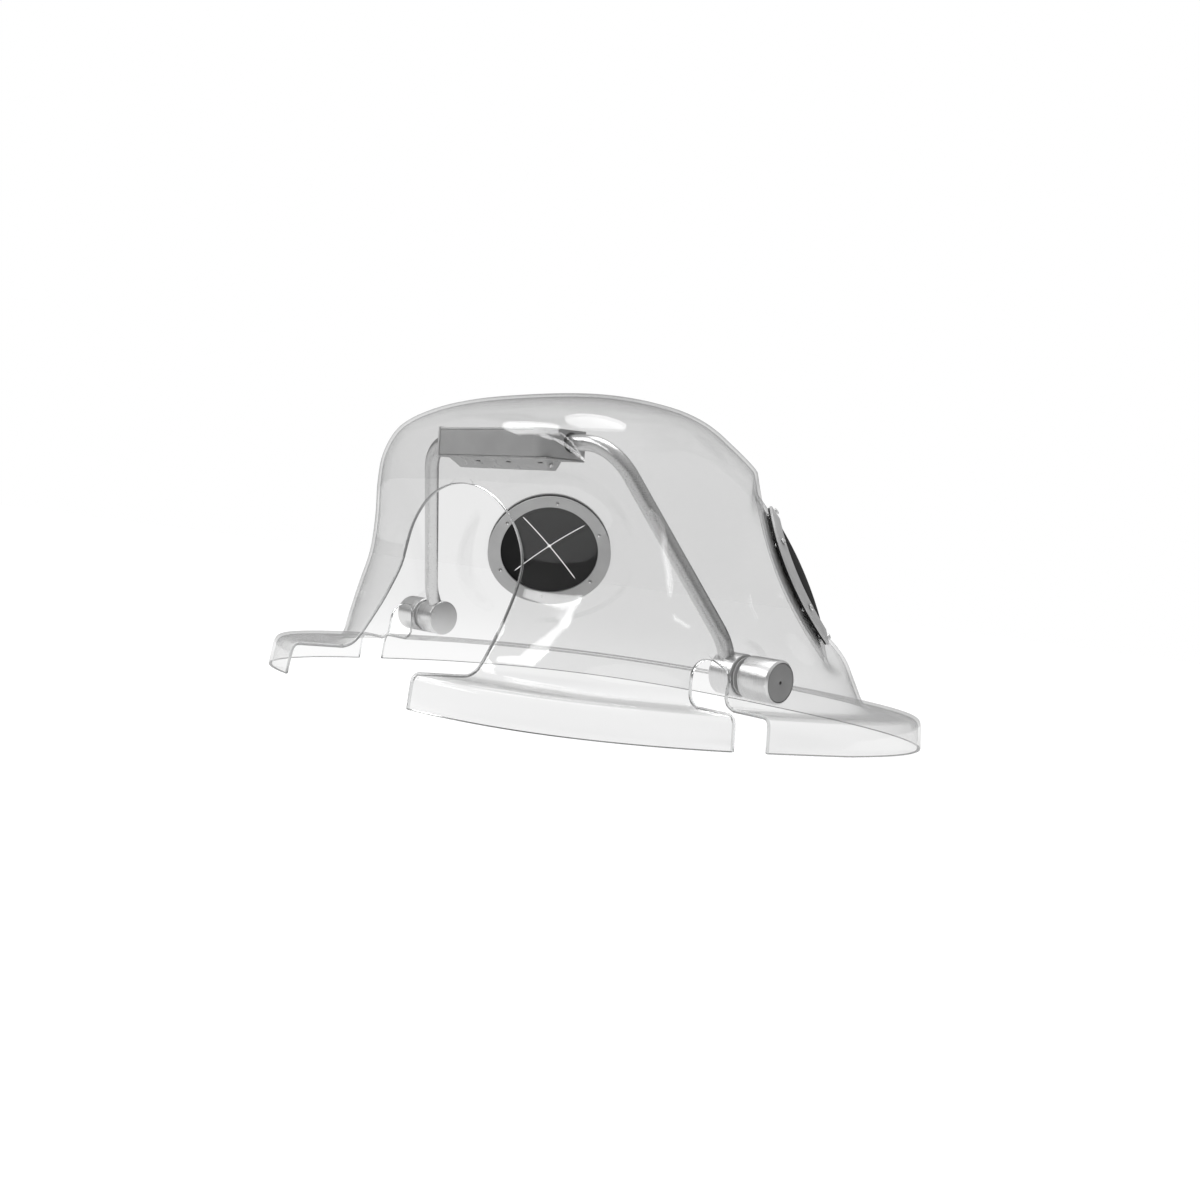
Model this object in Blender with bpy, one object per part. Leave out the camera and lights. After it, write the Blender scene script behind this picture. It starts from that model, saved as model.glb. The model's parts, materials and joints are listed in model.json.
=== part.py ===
"""Clear containment hood with a bail-mounted lamp and two hand ports.

Frame: +X to the right, +Y towards the closed rear, -Y towards the arched front
opening, +Z up.  The origin is on the ground, in the middle of the skirt's plan.
All lengths are in metres.  Pieces on the left (-X) mirror those on the right.
"""

import math

import bmesh
import bpy
from mathutils import Matrix, Vector

# ---------------------------------------------------------------- driving sizes
GAP = 0.0004                      # clearance between touching pieces
SHELL_THICKNESS = 0.0040
SKIRT_HALF = 0.400                # half-width of the skirt's foot, and its reach in front
SKIRT_REAR = 0.393                # reach of the skirt's foot behind
SKIRT_MIDDLE = 0.030              # the skirt is widest here
SKIRT_POWER_FRONT = 3.4           # superellipse powers of the skirt's plan
SKIRT_POWER_REAR = 2.6
SKIRT_TAPER = 0.160               # share of its width lost towards the front
FLANGE_TOP = 0.0400
SHELL_COLUMNS = 48                # facets round the shell

ARCH_HALF_WIDTH = 0.118           # front opening at its springing line
ARCH_FOOT_HALF_WIDTH = 0.130
ARCH_SPRING = 0.155               # height where the round top starts
ARCH_TOP = 0.256
NOTCH_Y = -0.1175                 # tubing notch in each side
NOTCH_WIDTH = 0.045
NOTCH_TOP = 0.090

PIVOT = Vector((0.0, -0.064, 0.076))   # bail axis, along X
PAD_X = 0.3140                    # outside face of the flat pad round the pivot
PAD_RADIUS = 0.029
PAD_BLEND = 0.046
BARREL_RADIUS = 0.025
BARREL_INNER_X = 0.2740
BARREL_CHAMFER = 0.0012
BARREL_BORE_DEPTH = 0.0100        # the axle stud's hole in the barrel's outer end
SOCKET_DEPTH = 0.0300             # the bail leg's hole through the top of the barrel
KNOB_OUTER_X = 0.3600
KNOB_CHAMFER = 0.0025
KNOB_RECESS = 0.0030
KNOB_RIM = 0.0004                 # width of the land between chamfer and recess
KNOB_DISC_HOLE = 0.0020
AXLE_ENGAGEMENT = 0.0095          # length of axle inside the barrel
AXLE_SETBACK = 0.0150             # from the axle's outer end to the knob's
AXLE_CHAMFER = 0.0010
AXLE_RADIUS = 0.0060
BUSH_RADIUS = 0.0095
WASHER_RADIUS = 0.0215
WASHER_THICKNESS = 0.0016

TUBE_RADIUS = 0.0095
TUBE_WALL = 0.0015
BAIL_LEAN = math.radians(28.0)    # bail leans forward from upright
BAIL_LEG_X = 0.2860
BAIL_SOCKET = 0.0125              # leg's lower end, from the pivot axis
BAIL_KNEE = 0.0430                # height along the bail where the leg turns inward
BAIL_TOP = 0.2750                 # height along the bail of the top bar
BAIL_SHOULDER_X = 0.1770          # where leg and top bar would cross
KNEE_RADIUS = 0.062
SHOULDER_RADIUS = 0.070

HOUSING_PITCH = math.radians(5.0) # the lamp housing tips a little about the top bar
HOUSING_LEFT = -0.1050            # ends of the channel, along the top bar
HOUSING_RIGHT = 0.0826
HOUSING_FRONT = -0.0380           # faces of the channel, from the top bar's axis
HOUSING_BACK = 0.0228
HOUSING_BOTTOM = -0.0195
HOUSING_TOP = 0.0119
HOUSING_WALL = 0.0025
COVER_THICKNESS = 0.0025
END_CAP_LENGTH = 0.0234
END_CAP_PROUD = 0.0020            # the end cap stands this far in front of the channel
END_CAP_CORNER = 0.0220           # plan radius of its front corner
END_PLATE_THICKNESS = 0.0035
END_PLATE_LIP = 0.0010            # the end plate stands proud of the channel all round
TILT_BUSH_RADIUS = 0.0116
TILT_BUSH_LENGTH = 0.0160
COVER_SCREWS = (-0.0700, 0.0740)  # places along the cover
COVER_SCREW_RADIUS = 0.0016
COVER_SCREW_HEAD = 0.0032

WINDOW_FLANGE = 0.0020            # thickness of the window's flange under the channel
WINDOW_WALL = 0.0020
WINDOW_LEFT = -0.0930             # the window's trough where it leaves the flange
WINDOW_RIGHT = 0.0980
WINDOW_FRONT = -0.0330
WINDOW_BACK = -0.0050
WINDOW_DROP = 0.0125              # depth of the trough under the flange
WINDOW_END_LEAN = 0.0080          # how far the trough's sides lean in at its bottom
WINDOW_FRONT_LEAN = 0.0150
WINDOW_BACK_LEAN = 0.0020
LAMP_PLACES = (-0.0350, 0.0250, 0.0850)
LAMP_Y = -0.0180
LAMP_SIZE = Vector((0.0110, 0.0070, 0.0018))
BOARD_THICKNESS = 0.0016
VENT_SLOT = Vector((0.0090, 0.0120, 0.0012))
WINDOW_SCREW_HEAD = 0.0026

PORT_CENTRE = Vector((0.246, 0.098, 0.204))
PORT_NORMAL = Vector((0.692, 0.521, 0.500)).normalized()
PORT_BEND_ACROSS = 0.230          # the wall's radius across the port
PORT_BEND_UP = 0.480              # and up the port
PORT_OPENING = 0.0750
PORT_RING_RADIUS = 0.0945
PORT_PATCH = 0.1140                # the wall is true to the patch this far out
PORT_BLEND = 0.1440
PORT_SEGMENTS = 32
PORT_CUT_CLEARANCE = 0.0015       # the hole in the wall is this much wider than the ring
RIM_SETBACK = 0.0010              # the membrane's edge stands in from the ring's
PORT_SCREW_TAIL = 0.0040          # screw showing inside the inner ring
PORT_SCREW_STEP = 0.0006          # the head stands this far off the bent ring
BEND_ALLOWANCE = 1.12             # a wall's thickness along the port's axis, over its own
RING_THICKNESS = 0.0032
PORT_GAP = 0.0007                 # clearance between the bent layers of a port
MEMBRANE_THICKNESS = 0.0015
SLIT_REACH = 0.0700               # centre of the membrane to each slit's end
SLIT_HALF_GAP = 0.0010            # lets neighbouring flaps pass as they fold
FLAP_HINGE_GAP = 0.0008
FLAP_TIP = 0.0022                 # the flaps stop this far from the middle
FLAP_ROWS = 3
FLAP_COLUMNS = 4
PORT_SCREW_CIRCLE = 0.0845
PORT_SCREW_COUNT = 6
PORT_SCREW_RADIUS = 0.0019
PORT_SCREW_HEAD = 0.0042
PORT_DRILL_RADIUS = 0.0024
PORT_DRILL_LENGTH = 0.0280

# Stations up the wall: height, half-width, front, rear, power in front, power behind,
# and the share of the width lost towards the front.
WALL_STATIONS = (
    (0.0400, 0.3390, -0.3300, 0.3390, 3.0, 2.7, 0.12),
    (0.0490, 0.3270, -0.3120, 0.3215, 3.2, 2.7, 0.12),
    (0.0760, 0.3185, -0.2920, 0.2990, 3.8, 2.7, 0.10),
    (0.1150, 0.3070, -0.2710, 0.2680, 4.6, 2.7, 0.08),
    (0.1600, 0.2890, -0.2560, 0.2360, 5.4, 2.7, 0.06),
    (0.2100, 0.2715, -0.2580, 0.2070, 5.6, 2.7, 0.04),
    (0.2550, 0.2570, -0.2640, 0.1790, 5.8, 2.7, 0.02),
    (0.2950, 0.2410, -0.2640, 0.1460, 6.0, 2.7, 0.0),
    (0.3300, 0.2160, -0.2580, 0.1120, 5.6, 2.6, 0.0),
    (0.3550, 0.1860, -0.2370, 0.0900, 4.4, 2.5, 0.0),
    (0.3730, 0.1560, -0.2030, 0.0780, 3.4, 2.4, 0.0),
    (0.3865, 0.1200, -0.1560, 0.0710, 2.7, 2.3, 0.0),
    (0.3955, 0.0860, -0.1120, 0.0550, 2.4, 2.2, 0.0),
    (0.3997, 0.0440, -0.0800, 0.0120, 2.2, 2.1, 0.0),
)
CROWN = (0.0, -0.0400, 0.4010)
# Skirt rows: height and how far the row stands in from the skirt's foot.
SKIRT_ROWS = ((-0.0020, 0.0), (0.0310, 0.0027), (0.0375, 0.0058), (0.0400, 0.0120))


# ---------------------------------------------------------------- small helpers
def clear_scene():
    for obj in list(bpy.data.objects):
        bpy.data.objects.remove(obj, do_unlink=True)


def make_material(name, colour, roughness, metallic=0.0, alpha=1.0):
    material = bpy.data.materials.new(name)
    material.use_nodes = True
    shader = material.node_tree.nodes["Principled BSDF"]
    shader.inputs["Base Color"].default_value = (*colour, 1.0)
    shader.inputs["Roughness"].default_value = roughness
    shader.inputs["Metallic"].default_value = metallic
    shader.inputs["Alpha"].default_value = alpha
    return material


def add_object(name, bm, material=None):
    bmesh.ops.recalc_face_normals(bm, faces=bm.faces)
    mesh = bpy.data.meshes.new(name)
    bm.to_mesh(mesh)
    bm.free()
    mesh.shade_smooth()
    mesh.set_sharp_from_angle(angle=math.radians(35.0))
    obj = bpy.data.objects.new(name, mesh)
    bpy.context.scene.collection.objects.link(obj)
    if material is not None:
        mesh.materials.append(material)
    return obj


def set_origin(obj, origin):
    """Move an object's origin to a point and leave its shape where it is."""
    obj.data.transform(Matrix.Translation(-Vector(origin)))
    obj.location = origin


def attach(obj, empty):
    """Parent an object to an empty; the shape stays where it was made."""
    obj.data.transform(empty.matrix_world.inverted())
    obj.parent = empty


def make_empty(name, location, pitch=0.0):
    empty = bpy.data.objects.new(name, None)
    bpy.context.scene.collection.objects.link(empty)
    empty.location = location
    empty.rotation_euler = (pitch, 0.0, 0.0)
    bpy.context.view_layer.update()
    return empty


def mirrored(point, side):
    return Vector((point[0] * side, point[1], point[2]))


def loft(rings, close_along=False, caps=True):
    """Join rings of equal length into one closed skin."""
    bm = bmesh.new()
    rows = [[bm.verts.new(point) for point in ring] for ring in rings]
    count = len(rows[0])
    pairs = list(zip(rows, rows[1:]))
    if close_along:
        pairs.append((rows[-1], rows[0]))
    for low, high in pairs:
        for i in range(count):
            j = (i + 1) % count
            bm.faces.new((low[i], low[j], high[j], high[i]))
    if caps and not close_along:
        bm.faces.new(rows[0])
        bm.faces.new(rows[-1])
    return bm


def circle(centre, first, second, radius, count):
    """Points of a circle spanned by two unit vectors."""
    points = []
    for i in range(count):
        angle = 2.0 * math.pi * i / count
        offset = first * (radius * math.cos(angle)) + second * (radius * math.sin(angle))
        points.append(centre + offset)
    return points


def turned(profile, centre, axis, count, hollow=False):
    """Turn (distance along, radius) pairs round an axis.

    A hollow profile is a closed outline that never meets the axis.
    """
    axis = Vector(axis).normalized()
    helper = Vector((0.0, 0.0, 1.0)) if abs(axis.z) < 0.9 else Vector((1.0, 0.0, 0.0))
    first = axis.cross(helper).normalized()
    second = axis.cross(first).normalized()
    rings = [circle(Vector(centre) + axis * along, first, second, radius, count)
             for along, radius in profile]
    return loft(rings, close_along=hollow)


def box_mesh(low, high):
    bm = bmesh.new()
    bmesh.ops.create_cube(bm, size=1.0)
    for vert in bm.verts:
        for k in range(3):
            vert.co[k] = low[k] if vert.co[k] < 0.0 else high[k]
    return bm


def joined(parts):
    """Put separate closed shapes into one mesh."""
    whole = bmesh.new()
    for part in parts:
        bmesh.ops.recalc_face_normals(part, faces=part.faces)
        mesh = bpy.data.meshes.new("part")
        part.to_mesh(mesh)
        part.free()
        whole.from_mesh(mesh)
        bpy.data.meshes.remove(mesh)
    return whole


def prism(outline, direction):
    """Extrude a closed outline of points along a vector."""
    return loft([outline, [Vector(point) + Vector(direction) for point in outline]])


def cut(obj, cutter):
    """Subtract a hidden cutter from an object."""
    cutter.hide_render = True
    cutter.display_type = 'WIRE'
    boolean = obj.modifiers.new("cut_by_" + cutter.name, 'BOOLEAN')
    boolean.operation = 'DIFFERENCE'
    boolean.object = cutter


def smoothstep(value, start, end):
    t = min(max((value - start) / (end - start), 0.0), 1.0)
    return t * t * (3.0 - 2.0 * t)


# ---------------------------------------------------------------- the port's patch
def port_axes():
    """Across and up directions of the right-hand port."""
    across = Vector((0.0, 0.0, 1.0)).cross(PORT_NORMAL).normalized()
    up = PORT_NORMAL.cross(across).normalized()
    return across, up


def port_sag(u, v):
    return u * u / (2.0 * PORT_BEND_ACROSS) + v * v / (2.0 * PORT_BEND_UP)


def port_point(u, v, w, side):
    """A point of the port: u across, v up, w out from the wall's outer face."""
    across, up = port_axes()
    point = PORT_CENTRE + across * u + up * v + PORT_NORMAL * (w - port_sag(u, v))
    return mirrored(point, side)


def port_direction(u, v, side):
    """Outward normal of the wall at a point of the port."""
    across, up = port_axes()
    normal = PORT_NORMAL + across * (u / PORT_BEND_ACROSS) + up * (v / PORT_BEND_UP)
    return mirrored(normal.normalized(), side)


def port_screw_places():
    for k in range(PORT_SCREW_COUNT):
        angle = 2.0 * math.pi * (k + 0.5) / PORT_SCREW_COUNT
        yield PORT_SCREW_CIRCLE * math.cos(angle), PORT_SCREW_CIRCLE * math.sin(angle)


# ---------------------------------------------------------------- hood shell
def plan_point(angle, half_width, front, rear, middle, powers, taper):
    """A point of a superellipse plan whose front half narrows forward."""
    sine = math.sin(angle)
    cosine = math.cos(angle)
    power = powers[1] if sine > 0.0 else powers[0]
    reach = (abs(cosine) ** power + abs(sine) ** power) ** (-1.0 / power)
    length = rear - middle if sine > 0.0 else middle - front
    narrow = 1.0 - taper * max(-reach * sine, 0.0)
    return half_width * reach * cosine * narrow, middle + length * reach * sine


def shape_pad(point):
    """Flatten the wall round the bail's pivot into an upright pad."""
    distance = math.hypot(point.y - PIVOT.y, point.z - PIVOT.z)
    share = 1.0 - smoothstep(distance, PAD_RADIUS, PAD_BLEND)
    side = 1.0 if point.x > 0.0 else -1.0
    point.x += (side * PAD_X - point.x) * share


def shape_port(point):
    """Ease the wall round the port onto the port's own patch."""
    side = 1.0 if point.x > 0.0 else -1.0
    across, up = port_axes()
    offset = mirrored(point, side) - PORT_CENTRE
    u = offset.dot(across)
    v = offset.dot(up)
    w = offset.dot(PORT_NORMAL)
    if abs(w) > PORT_BLEND:
        return
    share = 1.0 - smoothstep(math.hypot(u, v), PORT_PATCH, PORT_BLEND)
    shift = mirrored(PORT_NORMAL * ((-port_sag(u, v) - w) * share), side)
    point += shift


def shell_rings():
    rings = []
    angles = [2.0 * math.pi * (i + 0.5) / SHELL_COLUMNS for i in range(SHELL_COLUMNS)]
    for height, inset in SKIRT_ROWS:
        plan = (SKIRT_HALF - inset, -SKIRT_HALF + inset, SKIRT_REAR - inset, SKIRT_MIDDLE,
                (SKIRT_POWER_FRONT, SKIRT_POWER_REAR), SKIRT_TAPER)
        rings.append([Vector((*plan_point(angle, *plan), height)) for angle in angles])
    for height, half_width, front, rear, power_front, power_rear, taper in WALL_STATIONS:
        plan = (half_width, front, rear, (front + rear) / 2.0, (power_front, power_rear), taper)
        rings.append([Vector((*plan_point(angle, *plan), height)) for angle in angles])
    return rings


def refine(bm, centre, radius, cuts):
    """Split the faces near a point, so that a small feature can be shaped there."""
    near = [face for face in bm.faces if (face.calc_center_median() - centre).length < radius]
    edges = list({edge for face in near for edge in face.edges})
    bmesh.ops.subdivide_edges(bm, edges=edges, cuts=cuts, use_grid_fill=True)


def arch_outline(y):
    """Outline of the front opening, an arch on slightly spread legs."""
    outline = [Vector((ARCH_FOOT_HALF_WIDTH, y, -0.010))]
    rise = ARCH_TOP - ARCH_SPRING
    steps = 16
    for i in range(steps + 1):
        angle = math.pi * i / steps
        x = ARCH_HALF_WIDTH * math.cos(angle)
        outline.append(Vector((x, y, ARCH_SPRING + rise * math.sin(angle))))
    outline.append(Vector((-ARCH_FOOT_HALF_WIDTH, y, -0.010)))
    return outline


def notch_outline(x):
    """Outline of a tubing notch, upright with a round top."""
    radius = NOTCH_WIDTH / 2.0
    outline = [Vector((x, NOTCH_Y + radius, -0.010))]
    steps = 10
    for i in range(steps + 1):
        angle = math.pi * i / steps
        y = NOTCH_Y + radius * math.cos(angle)
        outline.append(Vector((x, y, NOTCH_TOP - radius + radius * math.sin(angle))))
    outline.append(Vector((x, NOTCH_Y - radius, -0.010)))
    return outline


def make_shell(material):
    """The clear moulded shell: dome, flange and down-turned skirt."""
    bm = loft(shell_rings(), caps=False)
    bm.verts.ensure_lookup_table()
    top = [vert for vert in bm.verts if abs(vert.co.z - WALL_STATIONS[-1][0]) < 1e-6]
    crown = bm.verts.new(CROWN)
    for edge in [e for e in bm.edges if e.is_boundary and all(v in top for v in e.verts)]:
        bm.faces.new((*edge.verts, crown))
    for side in (1.0, -1.0):
        refine(bm, Vector((side * PAD_X, PIVOT.y, PIVOT.z)), PAD_BLEND + 0.006, 3)
        refine(bm, mirrored(PORT_CENTRE, side), PORT_BLEND + 0.010, 1)
    for vert in bm.verts:
        if vert.co.z > FLANGE_TOP + 0.001:
            shape_port(vert.co)
            shape_pad(vert.co)
    shell = add_object("hood_shell", bm, material)
    solidify = shell.modifiers.new("wall", 'SOLIDIFY')
    solidify.thickness = SHELL_THICKNESS
    solidify.offset = -1.0
    solidify.use_even_offset = True
    cut(shell, add_object("ground_cutter", box_mesh((-0.5, -0.5, -0.020), (0.5, 0.5, 0.0))))
    cut(shell, add_object("arch_cutter", prism(arch_outline(-0.450), (0.0, 0.340, 0.0))))
    for side, name in ((1.0, "right"), (-1.0, "left")):
        outline = notch_outline(side * 0.250)
        cut(shell, add_object(name + "_notch_cutter", prism(outline, (side * 0.200, 0.0, 0.0))))
        start = Vector((side * (PAD_X - 0.020), PIVOT.y, PIVOT.z))
        hole = turned(((0.0, BUSH_RADIUS + GAP), (0.040, BUSH_RADIUS + GAP)),
                      start, (side, 0.0, 0.0), 24)
        cut(shell, add_object(name + "_pivot_cutter", hole))
        cut(shell, port_opening_cutter(name, side))
        cut(shell, port_screw_cutter(name + "_shell_screw_cutter", side))
    return shell


# ---------------------------------------------------------------- hand ports
def port_opening_cutter(name, side):
    normal = mirrored(PORT_NORMAL, side)
    reach = 0.050
    start = mirrored(PORT_CENTRE, side) - normal * reach
    radius = PORT_OPENING + PORT_CUT_CLEARANCE
    bm = turned(((0.0, radius), (2.0 * reach, radius)), start, normal, PORT_SEGMENTS)
    return add_object(name + "_port_cutter", bm)


def port_screw_cutter(name, side):
    """Six short drills, each square to the wall."""
    drills = []
    for u, v in port_screw_places():
        direction = port_direction(u, v, side)
        start = port_point(u, v, 0.0, side) - direction * (PORT_DRILL_LENGTH / 2.0)
        profile = ((0.0, PORT_DRILL_RADIUS), (PORT_DRILL_LENGTH, PORT_DRILL_RADIUS))
        drills.append(turned(profile, start, direction, 8))
    return add_object(name, joined(drills))


def annulus(inner, outer, low, high, side):
    """A ring bent to the wall, between two radii and two levels."""
    rings = []
    for i in range(PORT_SEGMENTS):
        angle = 2.0 * math.pi * i / PORT_SEGMENTS
        cosine = math.cos(angle)
        sine = math.sin(angle)
        section = ((inner, low), (outer, low), (outer, high), (inner, high))
        rings.append([port_point(r * cosine, r * sine, w, side) for r, w in section])
    return loft(rings, close_along=True)


def square_reach(angle, half):
    """Distance from a square's middle to its side, along an angle."""
    return half / max(abs(math.cos(angle)), abs(math.sin(angle)))


def make_membrane_rim(name, side, material):
    """The clamped edge of the rubber membrane, left square inside by the slits."""
    half = SLIT_REACH * math.sqrt(0.5) + FLAP_HINGE_GAP
    low = PORT_GAP
    high = low + MEMBRANE_THICKNESS
    rings = []
    for i in range(PORT_SEGMENTS):
        angle = 2.0 * math.pi * i / PORT_SEGMENTS
        cosine = math.cos(angle)
        sine = math.sin(angle)
        inner = square_reach(angle, half)
        outer = PORT_RING_RADIUS - RIM_SETBACK
        middle = (inner + outer) / 2.0
        section = ((inner, low), (middle, low), (outer, low), (outer, high), (middle, high),
                   (inner, high))
        rings.append([port_point(r * cosine, r * sine, w, side) for r, w in section])
    rim = add_object(name + "_membrane_rim", loft(rings, close_along=True), material)
    cut(rim, port_screw_cutter(name + "_rim_screw_cutter", side))
    return rim


def flap_corner(quarter, reach, along):
    """Port coordinates in a flap: reach from the middle, along its hinge line."""
    turn = quarter * math.pi / 2.0
    u = reach * math.cos(turn) - along * math.sin(turn)
    v = reach * math.sin(turn) + along * math.cos(turn)
    return u, v


def slab(low, high):
    """Closed sheet between two equal grids of points."""
    bm = bmesh.new()
    grids = [[[bm.verts.new(point) for point in row] for row in grid] for grid in (low, high)]
    for grid in grids:
        for near, far in zip(grid, grid[1:]):
            for j in range(len(near) - 1):
                bm.faces.new((near[j], near[j + 1], far[j + 1], far[j]))
    edges = []
    for grid in grids:
        left = [row[0] for row in grid[1:-1]]
        right = [row[-1] for row in grid[1:-1]]
        edges.append(grid[0] + right + grid[-1][::-1] + left[::-1])
    bottom, top = edges
    for i in range(len(bottom)):
        j = (i + 1) % len(bottom)
        bm.faces.new((bottom[i], bottom[j], top[j], top[i]))
    return bm


def make_flap(name, side, quarter, material):
    """One of four triangular flaps; its origin is on the hinge line."""
    base = SLIT_REACH * math.sqrt(0.5) - FLAP_HINGE_GAP
    low = PORT_GAP
    grids = []
    for level in (low, low + MEMBRANE_THICKNESS):
        grid = []
        for i in range(FLAP_ROWS + 1):
            reach = FLAP_TIP + (base - FLAP_TIP) * i / FLAP_ROWS
            width = reach - SLIT_HALF_GAP * math.sqrt(2.0)
            row = []
            for j in range(FLAP_COLUMNS + 1):
                along = width * (2.0 * j / FLAP_COLUMNS - 1.0)
                row.append(port_point(*flap_corner(quarter, reach, along), level, side))
            grid.append(row)
        grids.append(grid)
    flap = add_object("%s_flap_%d" % (name, quarter + 1), slab(*grids), material)
    set_origin(flap, flap_hinge(quarter, side)[0])
    return flap


def flap_hinge(quarter, side):
    """A point of the flap's hinge line, and the line's direction."""
    half = SLIT_REACH * math.sqrt(0.5)
    level = PORT_GAP + MEMBRANE_THICKNESS / 2.0
    ends = [port_point(*flap_corner(quarter, half, sign * half), level, side) for sign in (-1, 1)]
    middle = (ends[0] + ends[1]) / 2.0
    return middle, (ends[1] - ends[0]).normalized()


def make_port_screw(name, side, index, place, material):
    """A pan-head screw square to the wall, with its end showing inside."""
    u, v = place
    direction = port_direction(u, v, side)
    seat = PORT_GAP * 2.0 + MEMBRANE_THICKNESS + RING_THICKNESS + PORT_SCREW_STEP
    base = port_point(u, v, 0.0, side)
    tail = -(SHELL_THICKNESS + RING_THICKNESS + PORT_SCREW_TAIL)
    head = PORT_SCREW_HEAD
    profile = ((tail, PORT_SCREW_RADIUS * 0.6), (tail + 0.0008, PORT_SCREW_RADIUS),
               (seat, PORT_SCREW_RADIUS), (seat, head), (seat + 0.0014, head),
               (seat + 0.0024, head * 0.6))
    bm = turned(profile, base, direction, 8)
    return add_object("%s_port_screw_%d" % (name, index + 1), bm, material)


def make_port(name, side, materials):
    low = PORT_GAP * 2.0 + MEMBRANE_THICKNESS
    outer = add_object(name + "_port_outer_ring",
                       annulus(PORT_OPENING, PORT_RING_RADIUS, low, low + RING_THICKNESS, side),
                       materials["ring"])
    cut(outer, port_screw_cutter(name + "_outer_screw_cutter", side))
    top = -SHELL_THICKNESS * BEND_ALLOWANCE - PORT_GAP
    inner = add_object(name + "_port_inner_ring",
                       annulus(PORT_OPENING, PORT_RING_RADIUS, top - RING_THICKNESS, top, side),
                       materials["ring"])
    cut(inner, port_screw_cutter(name + "_inner_screw_cutter", side))
    make_membrane_rim(name, side, materials["rubber"])
    for quarter in range(4):
        make_flap(name, side, quarter, materials["rubber"])
    for index, place in enumerate(port_screw_places()):
        make_port_screw(name, side, index, place, materials["steel"])


# ---------------------------------------------------------------- bail
INNER_WASHER_X = PAD_X - SHELL_THICKNESS - WASHER_THICKNESS - GAP
BARREL_OUTER_X = INNER_WASHER_X - GAP


def bail_point(x, along):
    """A point of the bail's leaning plane, measured from the pivot axis."""
    return Vector((x, PIVOT.y - along * math.sin(BAIL_LEAN), PIVOT.z + along * math.cos(BAIL_LEAN)))


def rounded_path(corners, radii, steps):
    """Replace each inner corner of a path by an arc of the given radius."""
    points = [corners[0]]
    for before, corner, after, radius in zip(corners, corners[1:], corners[2:], radii):
        back = (before - corner).normalized()
        ahead = (after - corner).normalized()
        half = back.angle(ahead) / 2.0
        centre = corner + (back + ahead).normalized() * (radius / math.sin(half))
        start = corner + back * (radius / math.tan(half)) - centre
        end = corner + ahead * (radius / math.tan(half)) - centre
        for i in range(steps + 1):
            points.append(centre + start.slerp(end, i / steps) * radius)
    points.append(corners[-1])
    return points


def bail_path():
    corners = [bail_point(BAIL_LEG_X, BAIL_SOCKET), bail_point(BAIL_LEG_X, BAIL_KNEE),
               bail_point(BAIL_SHOULDER_X, BAIL_TOP), bail_point(-BAIL_SHOULDER_X, BAIL_TOP),
               bail_point(-BAIL_LEG_X, BAIL_KNEE), bail_point(-BAIL_LEG_X, BAIL_SOCKET)]
    radii = (KNEE_RADIUS, SHOULDER_RADIUS, SHOULDER_RADIUS, KNEE_RADIUS)
    return rounded_path(corners, radii, 4)


def sweep_tube(path, radius, wall, count):
    """A hollow tube along a path that lies in one plane."""
    plane = Vector((0.0, -math.cos(BAIL_LEAN), -math.sin(BAIL_LEAN)))
    outer = []
    inner = []
    for i, point in enumerate(path):
        before = path[max(i - 1, 0)]
        after = path[min(i + 1, len(path) - 1)]
        along = (after - before).normalized()
        side = along.cross(plane).normalized()
        outer.append(circle(point, plane, side, radius, count))
        inner.append(circle(point, plane, side, radius - wall, count))
    return loft(outer + inner[::-1], close_along=True)


def make_barrel(name, side, material):
    """Inner barrel that carries one leg of the bail."""
    length = BARREL_OUTER_X - BARREL_INNER_X
    chamfer = BARREL_CHAMFER
    profile = ((0.0, BARREL_RADIUS - chamfer), (chamfer, BARREL_RADIUS),
               (length - chamfer, BARREL_RADIUS), (length, BARREL_RADIUS - chamfer),
               (length, AXLE_RADIUS + GAP), (length - BARREL_BORE_DEPTH, AXLE_RADIUS + GAP))
    start = Vector((side * BARREL_INNER_X, PIVOT.y, PIVOT.z))
    bm = turned(profile, start, (side, 0.0, 0.0), 28)
    barrel = add_object(name + "_inner_barrel", bm, material)
    foot = bail_point(side * BAIL_LEG_X, BAIL_SOCKET - GAP)
    direction = bail_point(0.0, 1.0) - bail_point(0.0, 0.0)
    socket = turned(((0.0, TUBE_RADIUS + GAP), (SOCKET_DEPTH, TUBE_RADIUS + GAP)), foot, direction, 20)
    cut(barrel, add_object(name + "_socket_cutter", socket))
    return barrel


def make_axle(name, side, material):
    """Stud that joins the inner barrel to the outer knob through the wall."""
    inner_x = BARREL_OUTER_X - AXLE_ENGAGEMENT
    start = Vector((side * inner_x, PIVOT.y, PIVOT.z))
    length = KNOB_OUTER_X - AXLE_SETBACK - inner_x
    end = AXLE_RADIUS - AXLE_CHAMFER
    bm = turned(((0.0, end), (AXLE_CHAMFER, AXLE_RADIUS), (length - AXLE_CHAMFER, AXLE_RADIUS),
                 (length, end)), start, (side, 0.0, 0.0), 24)
    return add_object(name + "_axle_stud", bm, material)


def make_washer(name, side, start_x, material):
    start = Vector((side * start_x, PIVOT.y, PIVOT.z))
    bore = BUSH_RADIUS + GAP
    bm = turned(((0.0, bore), (0.0, WASHER_RADIUS), (WASHER_THICKNESS, WASHER_RADIUS),
                 (WASHER_THICKNESS, bore)), start, (side, 0.0, 0.0), 24, hollow=True)
    return add_object(name, bm, material)


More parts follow.
